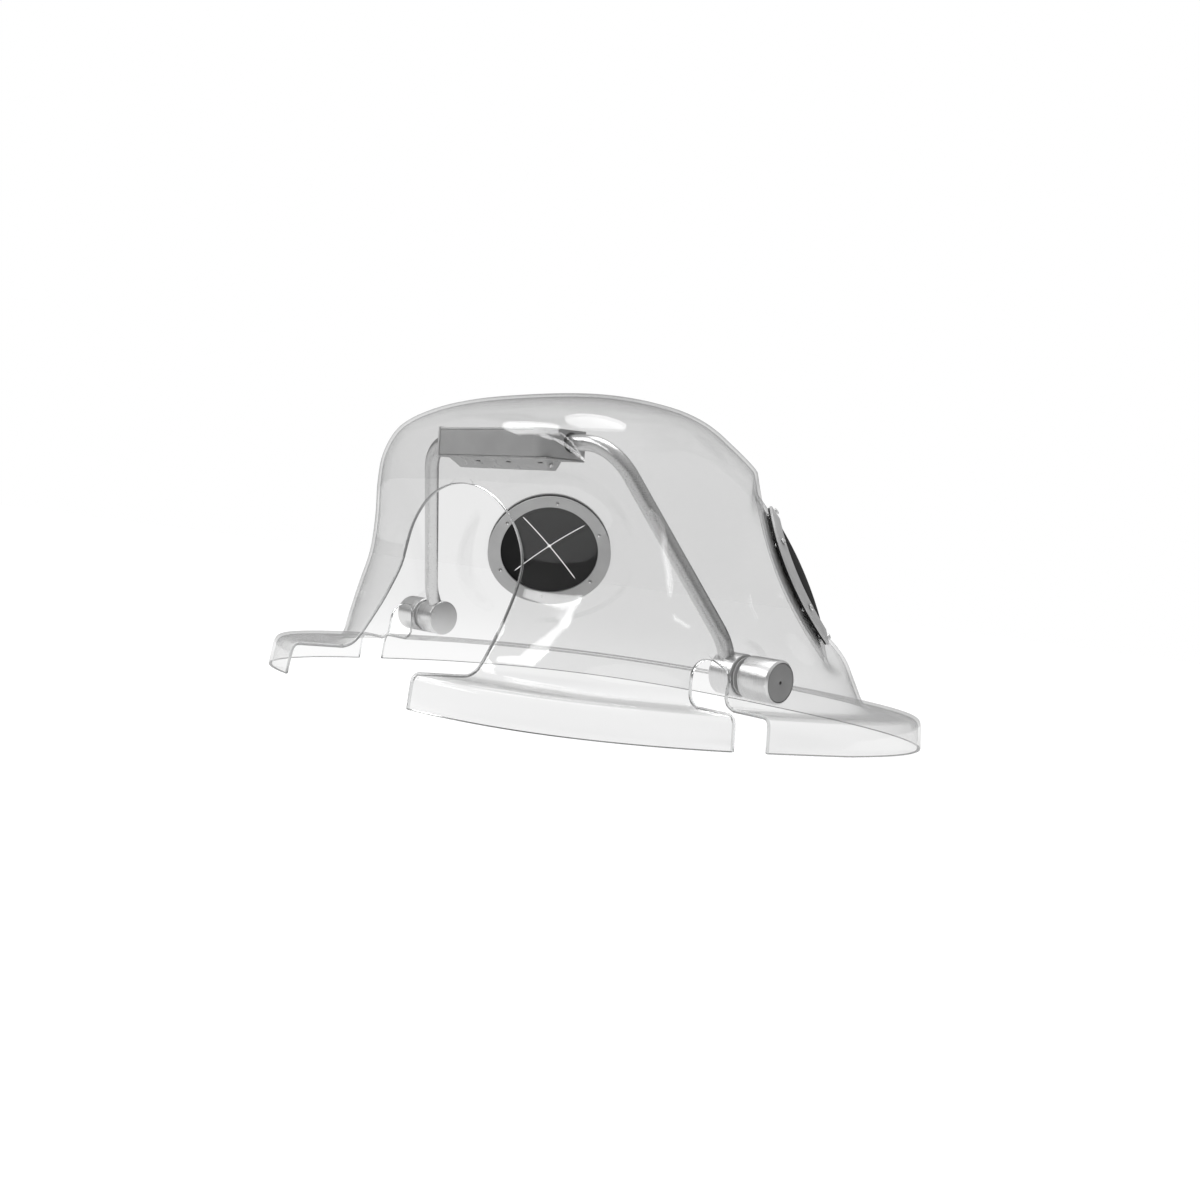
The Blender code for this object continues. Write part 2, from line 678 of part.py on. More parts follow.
def make_wall_bush(name, side, material):
    """Plain bearing in the wall's pivot hole."""
    reach = SHELL_THICKNESS + 2.0 * WASHER_THICKNESS + 2.0 * GAP
    start = Vector((side * INNER_WASHER_X, PIVOT.y, PIVOT.z))
    bm = turned(((0.0, AXLE_RADIUS + GAP), (0.0, BUSH_RADIUS), (reach, BUSH_RADIUS),
                 (reach, AXLE_RADIUS + GAP)), start, (side, 0.0, 0.0), 24, hollow=True)
    return add_object(name + "_wall_bush", bm, material)


def make_knob(name, side, material, cap_material):
    """Outer clamp knob: a barrel with a recessed end disc."""
    start_x = PAD_X + WASHER_THICKNESS + 3.0 * GAP
    length = KNOB_OUTER_X - start_x
    bore = AXLE_RADIUS + GAP
    face = BARREL_RADIUS - KNOB_CHAMFER
    profile = ((0.0, bore), (0.0, BARREL_RADIUS - BARREL_CHAMFER),
               (BARREL_CHAMFER, BARREL_RADIUS), (length - KNOB_CHAMFER, BARREL_RADIUS),
               (length, face), (length - KNOB_RECESS, face - KNOB_RIM),
               (length - KNOB_RECESS, bore))
    start = Vector((side * start_x, PIVOT.y, PIVOT.z))
    axis = (side, 0.0, 0.0)
    knob = add_object(name + "_clamp_knob", turned(profile, start, axis, 28, hollow=True), material)
    set_origin(knob, start)
    rim = face - KNOB_RIM - GAP
    low = length - KNOB_RECESS + GAP
    high = length - GAP
    disc_profile = ((low, KNOB_DISC_HOLE), (low, rim), (high, rim), (high, KNOB_DISC_HOLE))
    disc = add_object(name + "_knob_end_disc",
                      turned(disc_profile, start, axis, 28, hollow=True), cap_material)
    set_origin(disc, start)


def make_bail(materials):
    pivot = make_empty("bail_pivot", PIVOT)
    tube = add_object("bail_tube", sweep_tube(bail_path(), TUBE_RADIUS, TUBE_WALL, 12),
                      materials["satin_metal"])
    attach(tube, pivot)
    for side, name in ((1.0, "right"), (-1.0, "left")):
        attach(make_barrel(name, side, materials["satin_metal"]), pivot)
        attach(make_axle(name, side, materials["steel"]), pivot)
        attach(make_washer(name + "_inner_washer", side, INNER_WASHER_X, materials["washer"]),
               pivot)
        make_washer(name + "_outer_washer", side, PAD_X + GAP, materials["washer"])
        make_wall_bush(name, side, materials["washer"])
        make_knob(name, side, materials["satin_metal"], materials["dark_metal"])


# ---------------------------------------------------------------- lamp housing
# Heights here are measured from the top bar's axis, square to the housing.
CAP_START = HOUSING_RIGHT + GAP
CAP_END = CAP_START + END_CAP_LENGTH
PLATE_END = HOUSING_LEFT - GAP
COVER_BASE = HOUSING_TOP + GAP
COVER_FACE = COVER_BASE + COVER_THICKNESS
WINDOW_TOP = HOUSING_BOTTOM - GAP
FLANGE_FACE = WINDOW_TOP - WINDOW_FLANGE
WINDOW_BASE = FLANGE_FACE - WINDOW_DROP


def make_channel(material):
    """Housing body: an open-topped channel along the top bar."""
    inner_front = HOUSING_FRONT + HOUSING_WALL
    inner_back = HOUSING_BACK - HOUSING_WALL
    floor = HOUSING_BOTTOM + HOUSING_WALL
    outline = ((HOUSING_FRONT, HOUSING_BOTTOM), (HOUSING_BACK, HOUSING_BOTTOM),
               (HOUSING_BACK, HOUSING_TOP), (inner_back, HOUSING_TOP), (inner_back, floor),
               (inner_front, floor), (inner_front, HOUSING_TOP), (HOUSING_FRONT, HOUSING_TOP))
    points = [Vector((HOUSING_LEFT, y, z)) for y, z in outline]
    length = Vector((HOUSING_RIGHT - HOUSING_LEFT, 0.0, 0.0))
    return add_object("lamp_housing", prism(points, length), material)


def make_cover(material):
    """Flat cover on top of the channel, with its screw holes."""
    cover = add_object("housing_cover",
                       box_mesh((HOUSING_LEFT, HOUSING_FRONT, COVER_BASE),
                                (HOUSING_RIGHT, HOUSING_BACK, COVER_FACE)), material)
    drills = [turned(((0.0, COVER_SCREW_RADIUS + GAP), (0.006, COVER_SCREW_RADIUS + GAP)),
                     (x, 0.0, COVER_BASE - 0.001), (0.0, 0.0, 1.0), 8) for x in COVER_SCREWS]
    return cover, add_object("cover_drill_cutter", joined(drills))


def make_cover_screw(index, x, material):
    head = COVER_SCREW_HEAD
    profile = ((-0.0042, COVER_SCREW_RADIUS), (0.0, COVER_SCREW_RADIUS), (0.0, head),
               (0.0012, head), (0.0020, head * 0.6))
    bm = turned(profile, (x, 0.0, COVER_FACE + GAP), (0.0, 0.0, 1.0), 12)
    return add_object("cover_screw_%d" % (index + 1), bm, material)


def make_end_cap(material):
    """Block at the right end; its front corner is a large round in plan."""
    front = HOUSING_FRONT - END_CAP_PROUD
    centre_x = CAP_END - END_CAP_CORNER
    centre_y = front + END_CAP_CORNER
    outline = [(CAP_START, HOUSING_BACK), (CAP_START, front)]
    steps = 10
    for i in range(steps + 1):
        angle = math.pi * 0.5 * (i / steps - 1.0)
        outline.append((centre_x + END_CAP_CORNER * math.cos(angle),
                        centre_y + END_CAP_CORNER * math.sin(angle)))
    outline.append((CAP_END, HOUSING_BACK))
    points = [Vector((x, y, HOUSING_BOTTOM)) for x, y in outline]
    height = Vector((0.0, 0.0, COVER_FACE - HOUSING_BOTTOM))
    return add_object("right_end_cap", prism(points, height), material)


def make_end_plate(material):
    low = (PLATE_END - END_PLATE_THICKNESS, HOUSING_FRONT - END_PLATE_LIP,
           FLANGE_FACE - END_PLATE_LIP)
    high = (PLATE_END, HOUSING_BACK + END_PLATE_LIP, COVER_FACE + END_PLATE_LIP)
    return add_object("left_end_plate", box_mesh(low, high), material)


def bush_bore(name, x, length):
    radius = TILT_BUSH_RADIUS + GAP
    bm = turned(((0.0, radius), (length, radius)), (x, 0.0, 0.0), (1.0, 0.0, 0.0), 24)
    return add_object(name, bm)


def make_tilt_bush(name, x, length, material):
    bm = turned(((0.0, TUBE_RADIUS + GAP), (0.0, TILT_BUSH_RADIUS), (length, TILT_BUSH_RADIUS),
                 (length, TUBE_RADIUS + GAP)), (x, 0.0, 0.0), (1.0, 0.0, 0.0), 24, hollow=True)
    return add_object(name, bm, material)


def window_section(height, inset):
    """Rectangle of the trough at a height; the sides lean in towards the bottom."""
    lean = min((FLANGE_FACE - height) / WINDOW_DROP, 1.0)
    lean = max(lean, 0.0)
    left = WINDOW_LEFT + inset + WINDOW_END_LEAN * lean
    right = WINDOW_RIGHT - inset - WINDOW_END_LEAN * lean
    front = WINDOW_FRONT + inset + WINDOW_FRONT_LEAN * lean
    back = WINDOW_BACK - inset - WINDOW_BACK_LEAN * lean
    return [Vector((left, front, height)), Vector((right, front, height)),
            Vector((right, back, height)), Vector((left, back, height))]


def make_window(material):
    """Lamp window: a flange under the channel and a trough with leaning sides."""
    def flange(height):
        return [Vector((x, y, height)) for x, y in ((HOUSING_LEFT, HOUSING_FRONT),
                                                   (CAP_END, HOUSING_FRONT),
                                                   (CAP_END, HOUSING_BACK),
                                                   (HOUSING_LEFT, HOUSING_BACK))]

    rings = [window_section(WINDOW_BASE + WINDOW_WALL, WINDOW_WALL),
             window_section(WINDOW_TOP, WINDOW_WALL), flange(WINDOW_TOP), flange(FLANGE_FACE),
             window_section(FLANGE_FACE, 0.0), window_section(WINDOW_BASE, 0.0)]
    window = add_object("lamp_window", loft(rings), material)
    middle = (FLANGE_FACE + WINDOW_BASE) / 2.0 + 0.002
    vents = []
    for x in LAMP_PLACES:
        centre = Vector((x, WINDOW_FRONT + WINDOW_FRONT_LEAN / 2.0 - 0.002, middle))
        vents.append(box_mesh(centre - VENT_SLOT / 2.0, centre + VENT_SLOT / 2.0))
    return window, add_object("window_vent_cutter", joined(vents))


def make_lamp_board(material):
    top = WINDOW_TOP - GAP
    clear = 0.0045
    low = (WINDOW_LEFT + clear, WINDOW_FRONT + clear + 0.001, top - BOARD_THICKNESS)
    high = (WINDOW_RIGHT - clear, WINDOW_BACK - clear, top)
    return add_object("lamp_board", box_mesh(low, high), material)


def make_lamp(index, x, material):
    top = WINDOW_TOP - 2.0 * GAP - BOARD_THICKNESS
    centre = Vector((x, LAMP_Y, top - LAMP_SIZE.z / 2.0))
    return add_object("lamp_%d" % (index + 1),
                      box_mesh(centre - LAMP_SIZE / 2.0, centre + LAMP_SIZE / 2.0), material)


def make_window_screw(material):
    """Small screw low on the window's right-hand end."""
    head = WINDOW_SCREW_HEAD
    slope = Vector((WINDOW_DROP, 0.0, -WINDOW_END_LEAN)).normalized()
    height = FLANGE_FACE - WINDOW_DROP * 0.5
    face = Vector((WINDOW_RIGHT - WINDOW_END_LEAN * 0.5, -0.0190, height))
    bm = turned(((0.0, head), (0.0012, head), (0.0018, head * 0.6)), face + slope * GAP, slope, 12)
    return add_object("window_screw", bm, material)


def make_housing(materials):
    """Everything that tilts with the lamp, built level and then pitched."""
    tilt = make_empty("housing_tilt", bail_point(0.0, BAIL_TOP), HOUSING_PITCH)
    channel = make_channel(materials["housing"])
    cover, drills = make_cover(materials["cover"])
    cap = make_end_cap(materials["housing"])
    cap_bore = bush_bore("cap_bore_cutter", CAP_START - 0.005, END_CAP_LENGTH + 0.010)
    plate = make_end_plate(materials["cover"])
    plate_bore = bush_bore("plate_bore_cutter", PLATE_END - 0.010, 0.020)
    window, vents = make_window(materials["window"])
    pieces = [channel, cover, drills, cap, cap_bore, plate, plate_bore, window, vents,
              make_lamp_board(materials["board"]), make_window_screw(materials["steel"])]
    pieces += [make_lamp(i, x, materials["lamp"]) for i, x in enumerate(LAMP_PLACES)]
    pieces += [make_cover_screw(i, x, materials["steel"]) for i, x in enumerate(COVER_SCREWS)]
    pieces.append(make_tilt_bush("right_tilt_bush", CAP_END - TILT_BUSH_LENGTH, TILT_BUSH_LENGTH,
                                 materials["dark_metal"]))
    pieces.append(make_tilt_bush("left_tilt_bush", PLATE_END - END_PLATE_THICKNESS,
                                 TILT_BUSH_LENGTH, materials["dark_metal"]))
    for piece in pieces:
        piece.parent = tilt
    cut(cover, drills)
    cut(cap, cap_bore)
    cut(plate, plate_bore)
    cut(window, vents)


# ---------------------------------------------------------------- assembly
def make_materials():
    return {
        "clear": make_material("clear_plastic", (0.86, 0.87, 0.88), 0.04, 0.0, 0.25),
        "ring": make_material("ring_grey", (0.20, 0.20, 0.20), 0.45),
        "rubber": make_material("membrane_rubber", (0.03, 0.03, 0.03), 0.65),
        "steel": make_material("screw_steel", (0.62, 0.62, 0.62), 0.30, 1.0),
        "satin_metal": make_material("satin_aluminium", (0.70, 0.70, 0.71), 0.32, 1.0),
        "dark_metal": make_material("dark_grey_metal", (0.16, 0.16, 0.16), 0.45, 0.6),
        "washer": make_material("nylon_washer", (0.75, 0.75, 0.74), 0.50),
        "housing": make_material("housing_grey", (0.27, 0.27, 0.27), 0.42),
        "cover": make_material("cover_light_grey", (0.60, 0.60, 0.60), 0.35, 0.4),
        "window": make_material("window_grey", (0.30, 0.30, 0.31), 0.30),
        "board": make_material("board_white", (0.80, 0.80, 0.78), 0.60),
        "lamp": make_material("lamp_cream", (0.95, 0.90, 0.70), 0.35),
    }


def build():
    clear_scene()
    materials = make_materials()
    make_shell(materials["clear"])
    for side, name in ((1.0, "right"), (-1.0, "left")):
        make_port(name, side, materials)
    make_bail(materials)
    make_housing(materials)


build()
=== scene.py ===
"""Looks of the clear containment hood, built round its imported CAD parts.

Frame: +X to the right, +Y towards the closed rear, +Z up, in metres.  Pieces on
the left (-X) mirror those on the right.  The CAD gives the joints and boxes; the
curved sheets, tubes and mouldings are rebuilt here finely from the same sizes.
"""

import json
import math

import bmesh
import bpy
from mathutils import Matrix, Vector


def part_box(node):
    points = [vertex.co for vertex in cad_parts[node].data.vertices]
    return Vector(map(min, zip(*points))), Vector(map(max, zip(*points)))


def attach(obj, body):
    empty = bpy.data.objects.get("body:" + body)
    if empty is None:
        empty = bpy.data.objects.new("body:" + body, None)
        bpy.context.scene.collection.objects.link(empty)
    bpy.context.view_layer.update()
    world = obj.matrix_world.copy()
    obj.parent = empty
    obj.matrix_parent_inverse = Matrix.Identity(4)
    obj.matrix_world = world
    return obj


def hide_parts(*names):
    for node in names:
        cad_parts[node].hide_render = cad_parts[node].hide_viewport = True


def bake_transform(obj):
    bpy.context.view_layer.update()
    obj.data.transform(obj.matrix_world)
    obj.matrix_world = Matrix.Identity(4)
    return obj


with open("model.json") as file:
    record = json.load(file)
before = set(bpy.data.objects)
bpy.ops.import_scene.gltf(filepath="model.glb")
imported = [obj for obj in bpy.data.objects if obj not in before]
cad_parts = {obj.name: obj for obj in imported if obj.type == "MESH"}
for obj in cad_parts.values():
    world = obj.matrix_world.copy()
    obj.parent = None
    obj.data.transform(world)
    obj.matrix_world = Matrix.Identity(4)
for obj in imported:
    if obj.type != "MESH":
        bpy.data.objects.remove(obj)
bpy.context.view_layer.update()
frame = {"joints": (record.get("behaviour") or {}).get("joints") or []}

JOINTS = {joint["name"]: joint for joint in frame["joints"]}
PIVOT = Vector(JOINTS["bail_swing"]["pos_m"])
TILT_POINT = Vector(JOINTS["lamp_tilt"]["pos_m"])
SIDES = ((1.0, "right"), (-1.0, "left"))

# ------------------------------ sizes shared with the CAD
GAP = 0.0004
SHELL_THICKNESS = 0.0040
SKIRT_HALF = 0.400
SKIRT_REAR = 0.393
SKIRT_MIDDLE = 0.030
SKIRT_POWERS = (3.4, 2.6)         # in front and behind
SKIRT_TAPER = 0.160
FLANGE_TOP = 0.0400
ARCH_HALF_WIDTH = 0.118
ARCH_FOOT_HALF_WIDTH = 0.130
ARCH_SPRING = 0.155
ARCH_TOP = 0.256
NOTCH_Y = -0.1175
NOTCH_WIDTH = 0.045
NOTCH_TOP = 0.090
PAD_X = 0.3140
PAD_RADIUS = 0.029
PAD_BLEND = 0.046
PAD_REFINE_RADIUS = PAD_BLEND + 0.008
BARREL_RADIUS = 0.025
BARREL_CHAMFER = 0.0012
BARREL_SOCKET_DEPTH = 0.010
KNOB_CHAMFER = 0.0025
KNOB_RECESS = 0.0030
KNOB_LIP = 0.0004
KNOB_FACE_HOLE = 0.0020
BUSH_RADIUS = 0.0095
AXLE_RADIUS = 0.0060
AXLE_CHAMFER = 0.0010
END_DISC = 0.0004                 # turned ends close in a small flat disc
TUBE_RADIUS = 0.0095
TUBE_WALL = 0.0015
TUBE_CLEARANCE = 0.0002
TUBE_SOCKET_CUT = 0.030
BAIL_LEAN = math.radians(28.0)
BAIL_LEG_X = 0.2860
BAIL_SOCKET = 0.0125
BAIL_KNEE = 0.0430
BAIL_TOP = 0.2750
BAIL_SHOULDER_X = 0.1770
KNEE_RADIUS = 0.062
SHOULDER_RADIUS = 0.070
BEND_STEPS = 20
PORT_CENTRE = Vector((0.246, 0.098, 0.204))
PORT_NORMAL = Vector((0.692, 0.521, 0.500)).normalized()
PORT_BEND_ACROSS = 0.230
PORT_BEND_UP = 0.480
PORT_OPENING = 0.0750
PORT_CUT = 0.0765
PORT_RING_RADIUS = 0.0945
PORT_PATCH = 0.1140
PORT_BLEND = 0.1440
PORT_REFINE_RADIUS = PORT_BLEND + 0.012
RING_THICKNESS = 0.0032
RING_SOFTENING = 0.0008
PORT_GAP = 0.0007
BEND_ALLOWANCE = 1.12             # the wall is this much thicker along the port's axis
MEMBRANE_THICKNESS = 0.0015
MEMBRANE_RADIUS = 0.0935
FLAP_TIP = 0.0030
SLIT_REACH = 0.0700
SLIT_HALF_GAP = 0.0010
SLIT_FADE = 0.006
SLIT_MARGIN = 0.00002             # keeps neighbouring flaps apart at the rim
PORT_SCREWS = 6
PORT_SCREW_CIRCLE = 0.0845
PORT_SCREW_RADIUS = 0.0019
PORT_SCREW_HEAD = 0.0042
PORT_SCREW_LIFT = 0.0006
PORT_DRILL_RADIUS = 0.0024
PORT_DRILL_REACH = 0.014

# Stations up the wall: height, half-width, front, rear, power in front, power behind,
# and the share of the width lost towards the front.
WALL_STATIONS = (
    (0.0400, 0.3390, -0.3300, 0.3390, 3.0, 2.7, 0.12),
    (0.0490, 0.3270, -0.3120, 0.3215, 3.2, 2.7, 0.12),
    (0.0760, 0.3185, -0.2920, 0.2990, 3.8, 2.7, 0.10),
    (0.1150, 0.3070, -0.2710, 0.2680, 4.6, 2.7, 0.08),
    (0.1600, 0.2890, -0.2560, 0.2360, 5.4, 2.7, 0.06),
    (0.2100, 0.2715, -0.2580, 0.2070, 5.6, 2.7, 0.04),
    (0.2550, 0.2570, -0.2640, 0.1790, 5.8, 2.7, 0.02),
    (0.2950, 0.2410, -0.2640, 0.1460, 6.0, 2.7, 0.0),
    (0.3300, 0.2160, -0.2580, 0.1120, 5.6, 2.6, 0.0),
    (0.3550, 0.1860, -0.2370, 0.0900, 4.4, 2.5, 0.0),
    (0.3730, 0.1560, -0.2030, 0.0780, 3.4, 2.4, 0.0),
    (0.3865, 0.1200, -0.1560, 0.0710, 2.7, 2.3, 0.0),
    (0.3955, 0.0860, -0.1120, 0.0550, 2.4, 2.2, 0.0),
    (0.3997, 0.0440, -0.0800, 0.0120, 2.2, 2.1, 0.0),
)
CROWN = Vector((0.0, -0.0400, 0.4010))
# Skirt rows: height and how far the row stands in from the skirt's foot.
SKIRT_ROWS = ((-0.0020, 0.0), (0.0080, 0.0008), (0.0180, 0.0016), (0.0260, 0.0023),
              (0.0310, 0.0030), (0.0340, 0.0040), (0.0366, 0.0056), (0.0385, 0.0078),
              (0.0396, 0.0104), (0.0400, 0.0135))
FLANGE_STEPS = 4
STATION_STEPS = 5
CROWN_STEPS = 6
SHELL_COLUMNS = 192
# A place on the flange that steers the curve into the wall's first station.
FLANGE_STATION = (FLANGE_TOP, 0.3510, -0.3480, 0.3550, 3.0, 2.7, 0.12)

EDGE_POLISH = 0.0011              # width of the bevel on every cut edge
EDGE_ANGLE = 55.0                 # edges that turn more than this are bevelled

# Edges that turn more than this many degrees are shaded sharp.
PLAIN_SHARP = 35.0
TURNED_SHARP = 40.0
THIN_SHARP = 50.0

# Sides of round shapes, by size.
TINY_SIDES = 16
SCREW_SIDES = 32
HOLE_SIDES = 48
BUSH_SIDES = 64
BARREL_SIDES = 96
PORT_SIDES = 128

# Cutters reach past the sheet on both sides.
CUT_FLOOR = -0.010
CUT_DEPTH = -0.020
CUT_HALF = 0.5
ARCH_CUT_Y = -0.450
ARCH_CUT_LENGTH = 0.340
NOTCH_CUT_X = 0.250
NOTCH_CUT_LENGTH = 0.200
PIVOT_CUT_REACH = 0.020
PORT_CUT_REACH = 0.050


# ------------------------------ mesh helpers
def shade(mesh, angle):
    """Shade smoothly, with sharp edges where faces turn more than an angle in degrees."""
    mesh.shade_smooth()
    mesh.set_sharp_from_angle(angle=math.radians(angle))


def add_piece(name, bm, smooth_angle=PLAIN_SHARP):
    bmesh.ops.recalc_face_normals(bm, faces=bm.faces)
    mesh = bpy.data.meshes.new(name)
    bm.to_mesh(mesh)
    bm.free()
    shade(mesh, smooth_angle)
    piece = bpy.data.objects.new(name, mesh)
    bpy.context.scene.collection.objects.link(piece)
    return piece


def finish_piece(piece, body, slot, material, *nodes):
    """Give a piece its material and body, and let it stand for its CAD nodes."""
    piece.data.materials.clear()
    piece.data.materials.append(material)
    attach(piece, body)
    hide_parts(*nodes)
    return piece


def apply_modifiers(piece):
    bpy.context.view_layer.update()
    evaluated = piece.evaluated_get(bpy.context.evaluated_depsgraph_get())
    mesh = bpy.data.meshes.new_from_object(evaluated)
    piece.modifiers.clear()
    piece.data = mesh


def mirrored(point, side):
    return Vector((point[0] * side, point[1], point[2]))


def loft(rings, close_along=False, caps=True):
    bm = bmesh.new()
    rows = [[bm.verts.new(point) for point in ring] for ring in rings]
    count = len(rows[0])
    pairs = list(zip(rows, rows[1:]))
    if close_along:
        pairs.append((rows[-1], rows[0]))
    for low, high in pairs:
        for i in range(count):
            j = (i + 1) % count
            bm.faces.new((low[i], low[j], high[j], high[i]))
    if caps and not close_along:
        bm.faces.new(rows[0])
        bm.faces.new(rows[-1])
    return bm


def circle(centre, first, second, radius, count):
    points = []
    for i in range(count):
        angle = 2.0 * math.pi * i / count
        offset = first * (radius * math.cos(angle)) + second * (radius * math.sin(angle))
        points.append(centre + offset)
    return points


def turned(profile, centre, axis, count, hollow=False):
    """Turn (distance along, radius) pairs round an axis."""
    axis = Vector(axis).normalized()
    helper = Vector((0.0, 0.0, 1.0)) if abs(axis.z) < 0.9 else Vector((1.0, 0.0, 0.0))
    first = axis.cross(helper).normalized()
    second = axis.cross(first).normalized()
    rings = [circle(Vector(centre) + axis * along, first, second, radius, count)
             for along, radius in profile]
    return loft(rings, close_along=hollow)


def rod(start, direction, radius, length, count):
    """A plain round rod, for cutting a hole."""
    return turned(((0.0, radius), (length, radius)), start, direction, count)


def rounded_profile(points, radius, steps=4, closed=False):
    """Round every corner of a two-dimensional outline by small arcs."""
    result = []
    count = len(points)
    for i, corner in enumerate(points):
        here = Vector(corner)
        if not closed and i in (0, count - 1):
            result.append(tuple(here))
            continue
        before = Vector(points[i - 1]) - here
        after = Vector(points[(i + 1) % count]) - here
        reach = min(radius, before.length * 0.45, after.length * 0.45)
        start = here + before.normalized() * reach
        end = here + after.normalized() * reach
        for k in range(steps + 1):
            t = k / steps
            result.append(tuple(start * (1 - t) ** 2 + here * (2 * t * (1 - t)) + end * t * t))
    return result


def joined(parts):
    whole = bmesh.new()
    for part in parts:
        bmesh.ops.recalc_face_normals(part, faces=part.faces)
        mesh = bpy.data.meshes.new("part")
        part.to_mesh(mesh)
        part.free()
        whole.from_mesh(mesh)
        bpy.data.meshes.remove(mesh)
    return whole


def prism(outline, direction):
    return loft([outline, [Vector(point) + Vector(direction) for point in outline]])


def bevelled(bm, width, segments=3, angle=40.0):
    """Round the edges of a shape that turn more than an angle."""
    bmesh.ops.remove_doubles(bm, verts=bm.verts, dist=1e-6)
    bmesh.ops.recalc_face_normals(bm, faces=bm.faces)
    limit = math.radians(angle)
    edges = [e for e in bm.edges if len(e.link_faces) == 2 and e.calc_face_angle(0.0) > limit]
    bmesh.ops.bevel(bm, geom=edges, offset=width, offset_type='OFFSET', segments=segments,
                    profile=0.5, affect='EDGES', clamp_overlap=True)
    return bm


def box_mesh(low, high):
    bm = bmesh.new()
    bmesh.ops.create_cube(bm, size=1.0)
    for vert in bm.verts:
        for k in range(3):
            vert.co[k] = low[k] if vert.co[k] < 0.0 else high[k]
    return bm


def subtract(piece, cutter_mesh, material=None):
    """Cut a shape away; its material, if any, goes onto the cut faces."""
    cutter = add_piece("cutter", cutter_mesh)
    if material is not None:
        cutter.data.materials.append(material)
    boolean = piece.modifiers.new("cut", 'BOOLEAN')
    boolean.operation = 'DIFFERENCE'
    boolean.object = cutter
    boolean.solver = 'EXACT'
    boolean.material_mode = 'TRANSFER'
    apply_modifiers(piece)
    bpy.data.objects.remove(cutter, do_unlink=True)


def smoothstep(value, start, end):
    t = min(max((value - start) / (end - start), 0.0), 1.0)
    return t * t * (3.0 - 2.0 * t)


# ------------------------------ the port's patch
PORT_ACROSS = Vector((0.0, 0.0, 1.0)).cross(PORT_NORMAL).normalized()
PORT_UP = PORT_NORMAL.cross(PORT_ACROSS).normalized()


def port_sag(u, v):
    return u * u / (2.0 * PORT_BEND_ACROSS) + v * v / (2.0 * PORT_BEND_UP)


def port_point(u, v, w, side):
    """A point of the port: u across, v up, w out from the wall's outer face."""
    point = PORT_CENTRE + PORT_ACROSS * u + PORT_UP * v + PORT_NORMAL * (w - port_sag(u, v))
    return mirrored(point, side)


def port_direction(u, v, side):
    normal = PORT_NORMAL + PORT_ACROSS * (u / PORT_BEND_ACROSS) + PORT_UP * (v / PORT_BEND_UP)
    return mirrored(normal.normalized(), side)


def port_screw_places():
    for k in range(PORT_SCREWS):
        angle = 2.0 * math.pi * (k + 0.5) / PORT_SCREWS
        yield PORT_SCREW_CIRCLE * math.cos(angle), PORT_SCREW_CIRCLE * math.sin(angle)


def port_drills(side):
    """A drill through the wall and both rings at every port screw."""
    drills = []
    for u, v in port_screw_places():
        direction = port_direction(u, v, side)
        start = port_point(u, v, 0.0, side) - direction * PORT_DRILL_REACH
        drills.append(rod(start, direction, PORT_DRILL_RADIUS,
                          2.0 * PORT_DRILL_REACH, TINY_SIDES))
    return drills


# ------------------------------ hood shell
def plan_point(angle, half_width, front, rear, middle, powers, taper):
    """A point of a superellipse plan whose front half narrows forward."""
    sine = math.sin(angle)
    cosine = math.cos(angle)
    power = powers[1] if sine > 0.0 else powers[0]
    reach = (abs(cosine) ** power + abs(sine) ** power) ** (-1.0 / power)
    length = rear - middle if sine > 0.0 else middle - front
    narrow = 1.0 - taper * max(-reach * sine, 0.0)
    return half_width * reach * cosine * narrow, middle + length * reach * sine


def plan_ring(angles, height, plan):
    return [Vector((*plan_point(angle, *plan), height)) for angle in angles]


def between_stations(place):
    """Smooth values of the wall's stations at a place between two of them."""
    index = min(int(place), len(WALL_STATIONS) - 2)
    t = place - index
    first = WALL_STATIONS[index - 1] if index > 0 else FLANGE_STATION
    second = WALL_STATIONS[index]
    third = WALL_STATIONS[index + 1]
    last = WALL_STATIONS[index + 2] if index + 2 < len(WALL_STATIONS) else third
    values = []
    for a, b, c, d in zip(first, second, third, last):
        values.append(0.5 * (2 * b + (c - a) * t + (2 * a - 5 * b + 4 * c - d) * t ** 2
                             + (3 * b - a - 3 * c + d) * t ** 3))
    return values


def shape_pad(point):
    """Flatten the wall round the bail's pivot into an upright pad."""
    distance = math.hypot(point.y - PIVOT.y, point.z - PIVOT.z)
    share = 1.0 - smoothstep(distance, PAD_RADIUS, PAD_BLEND)
    side = 1.0 if point.x > 0.0 else -1.0
    point.x += (side * PAD_X - point.x) * share


def shape_port(point):
    """Ease the wall round the port onto the port's own patch."""
    side = 1.0 if point.x > 0.0 else -1.0
    offset = mirrored(point, side) - PORT_CENTRE
    u = offset.dot(PORT_ACROSS)
    v = offset.dot(PORT_UP)
    w = offset.dot(PORT_NORMAL)
    if abs(w) > PORT_BLEND:
        return
    share = 1.0 - smoothstep(math.hypot(u, v), PORT_PATCH, PORT_BLEND)
    point += mirrored(PORT_NORMAL * ((-port_sag(u, v) - w) * share), side)


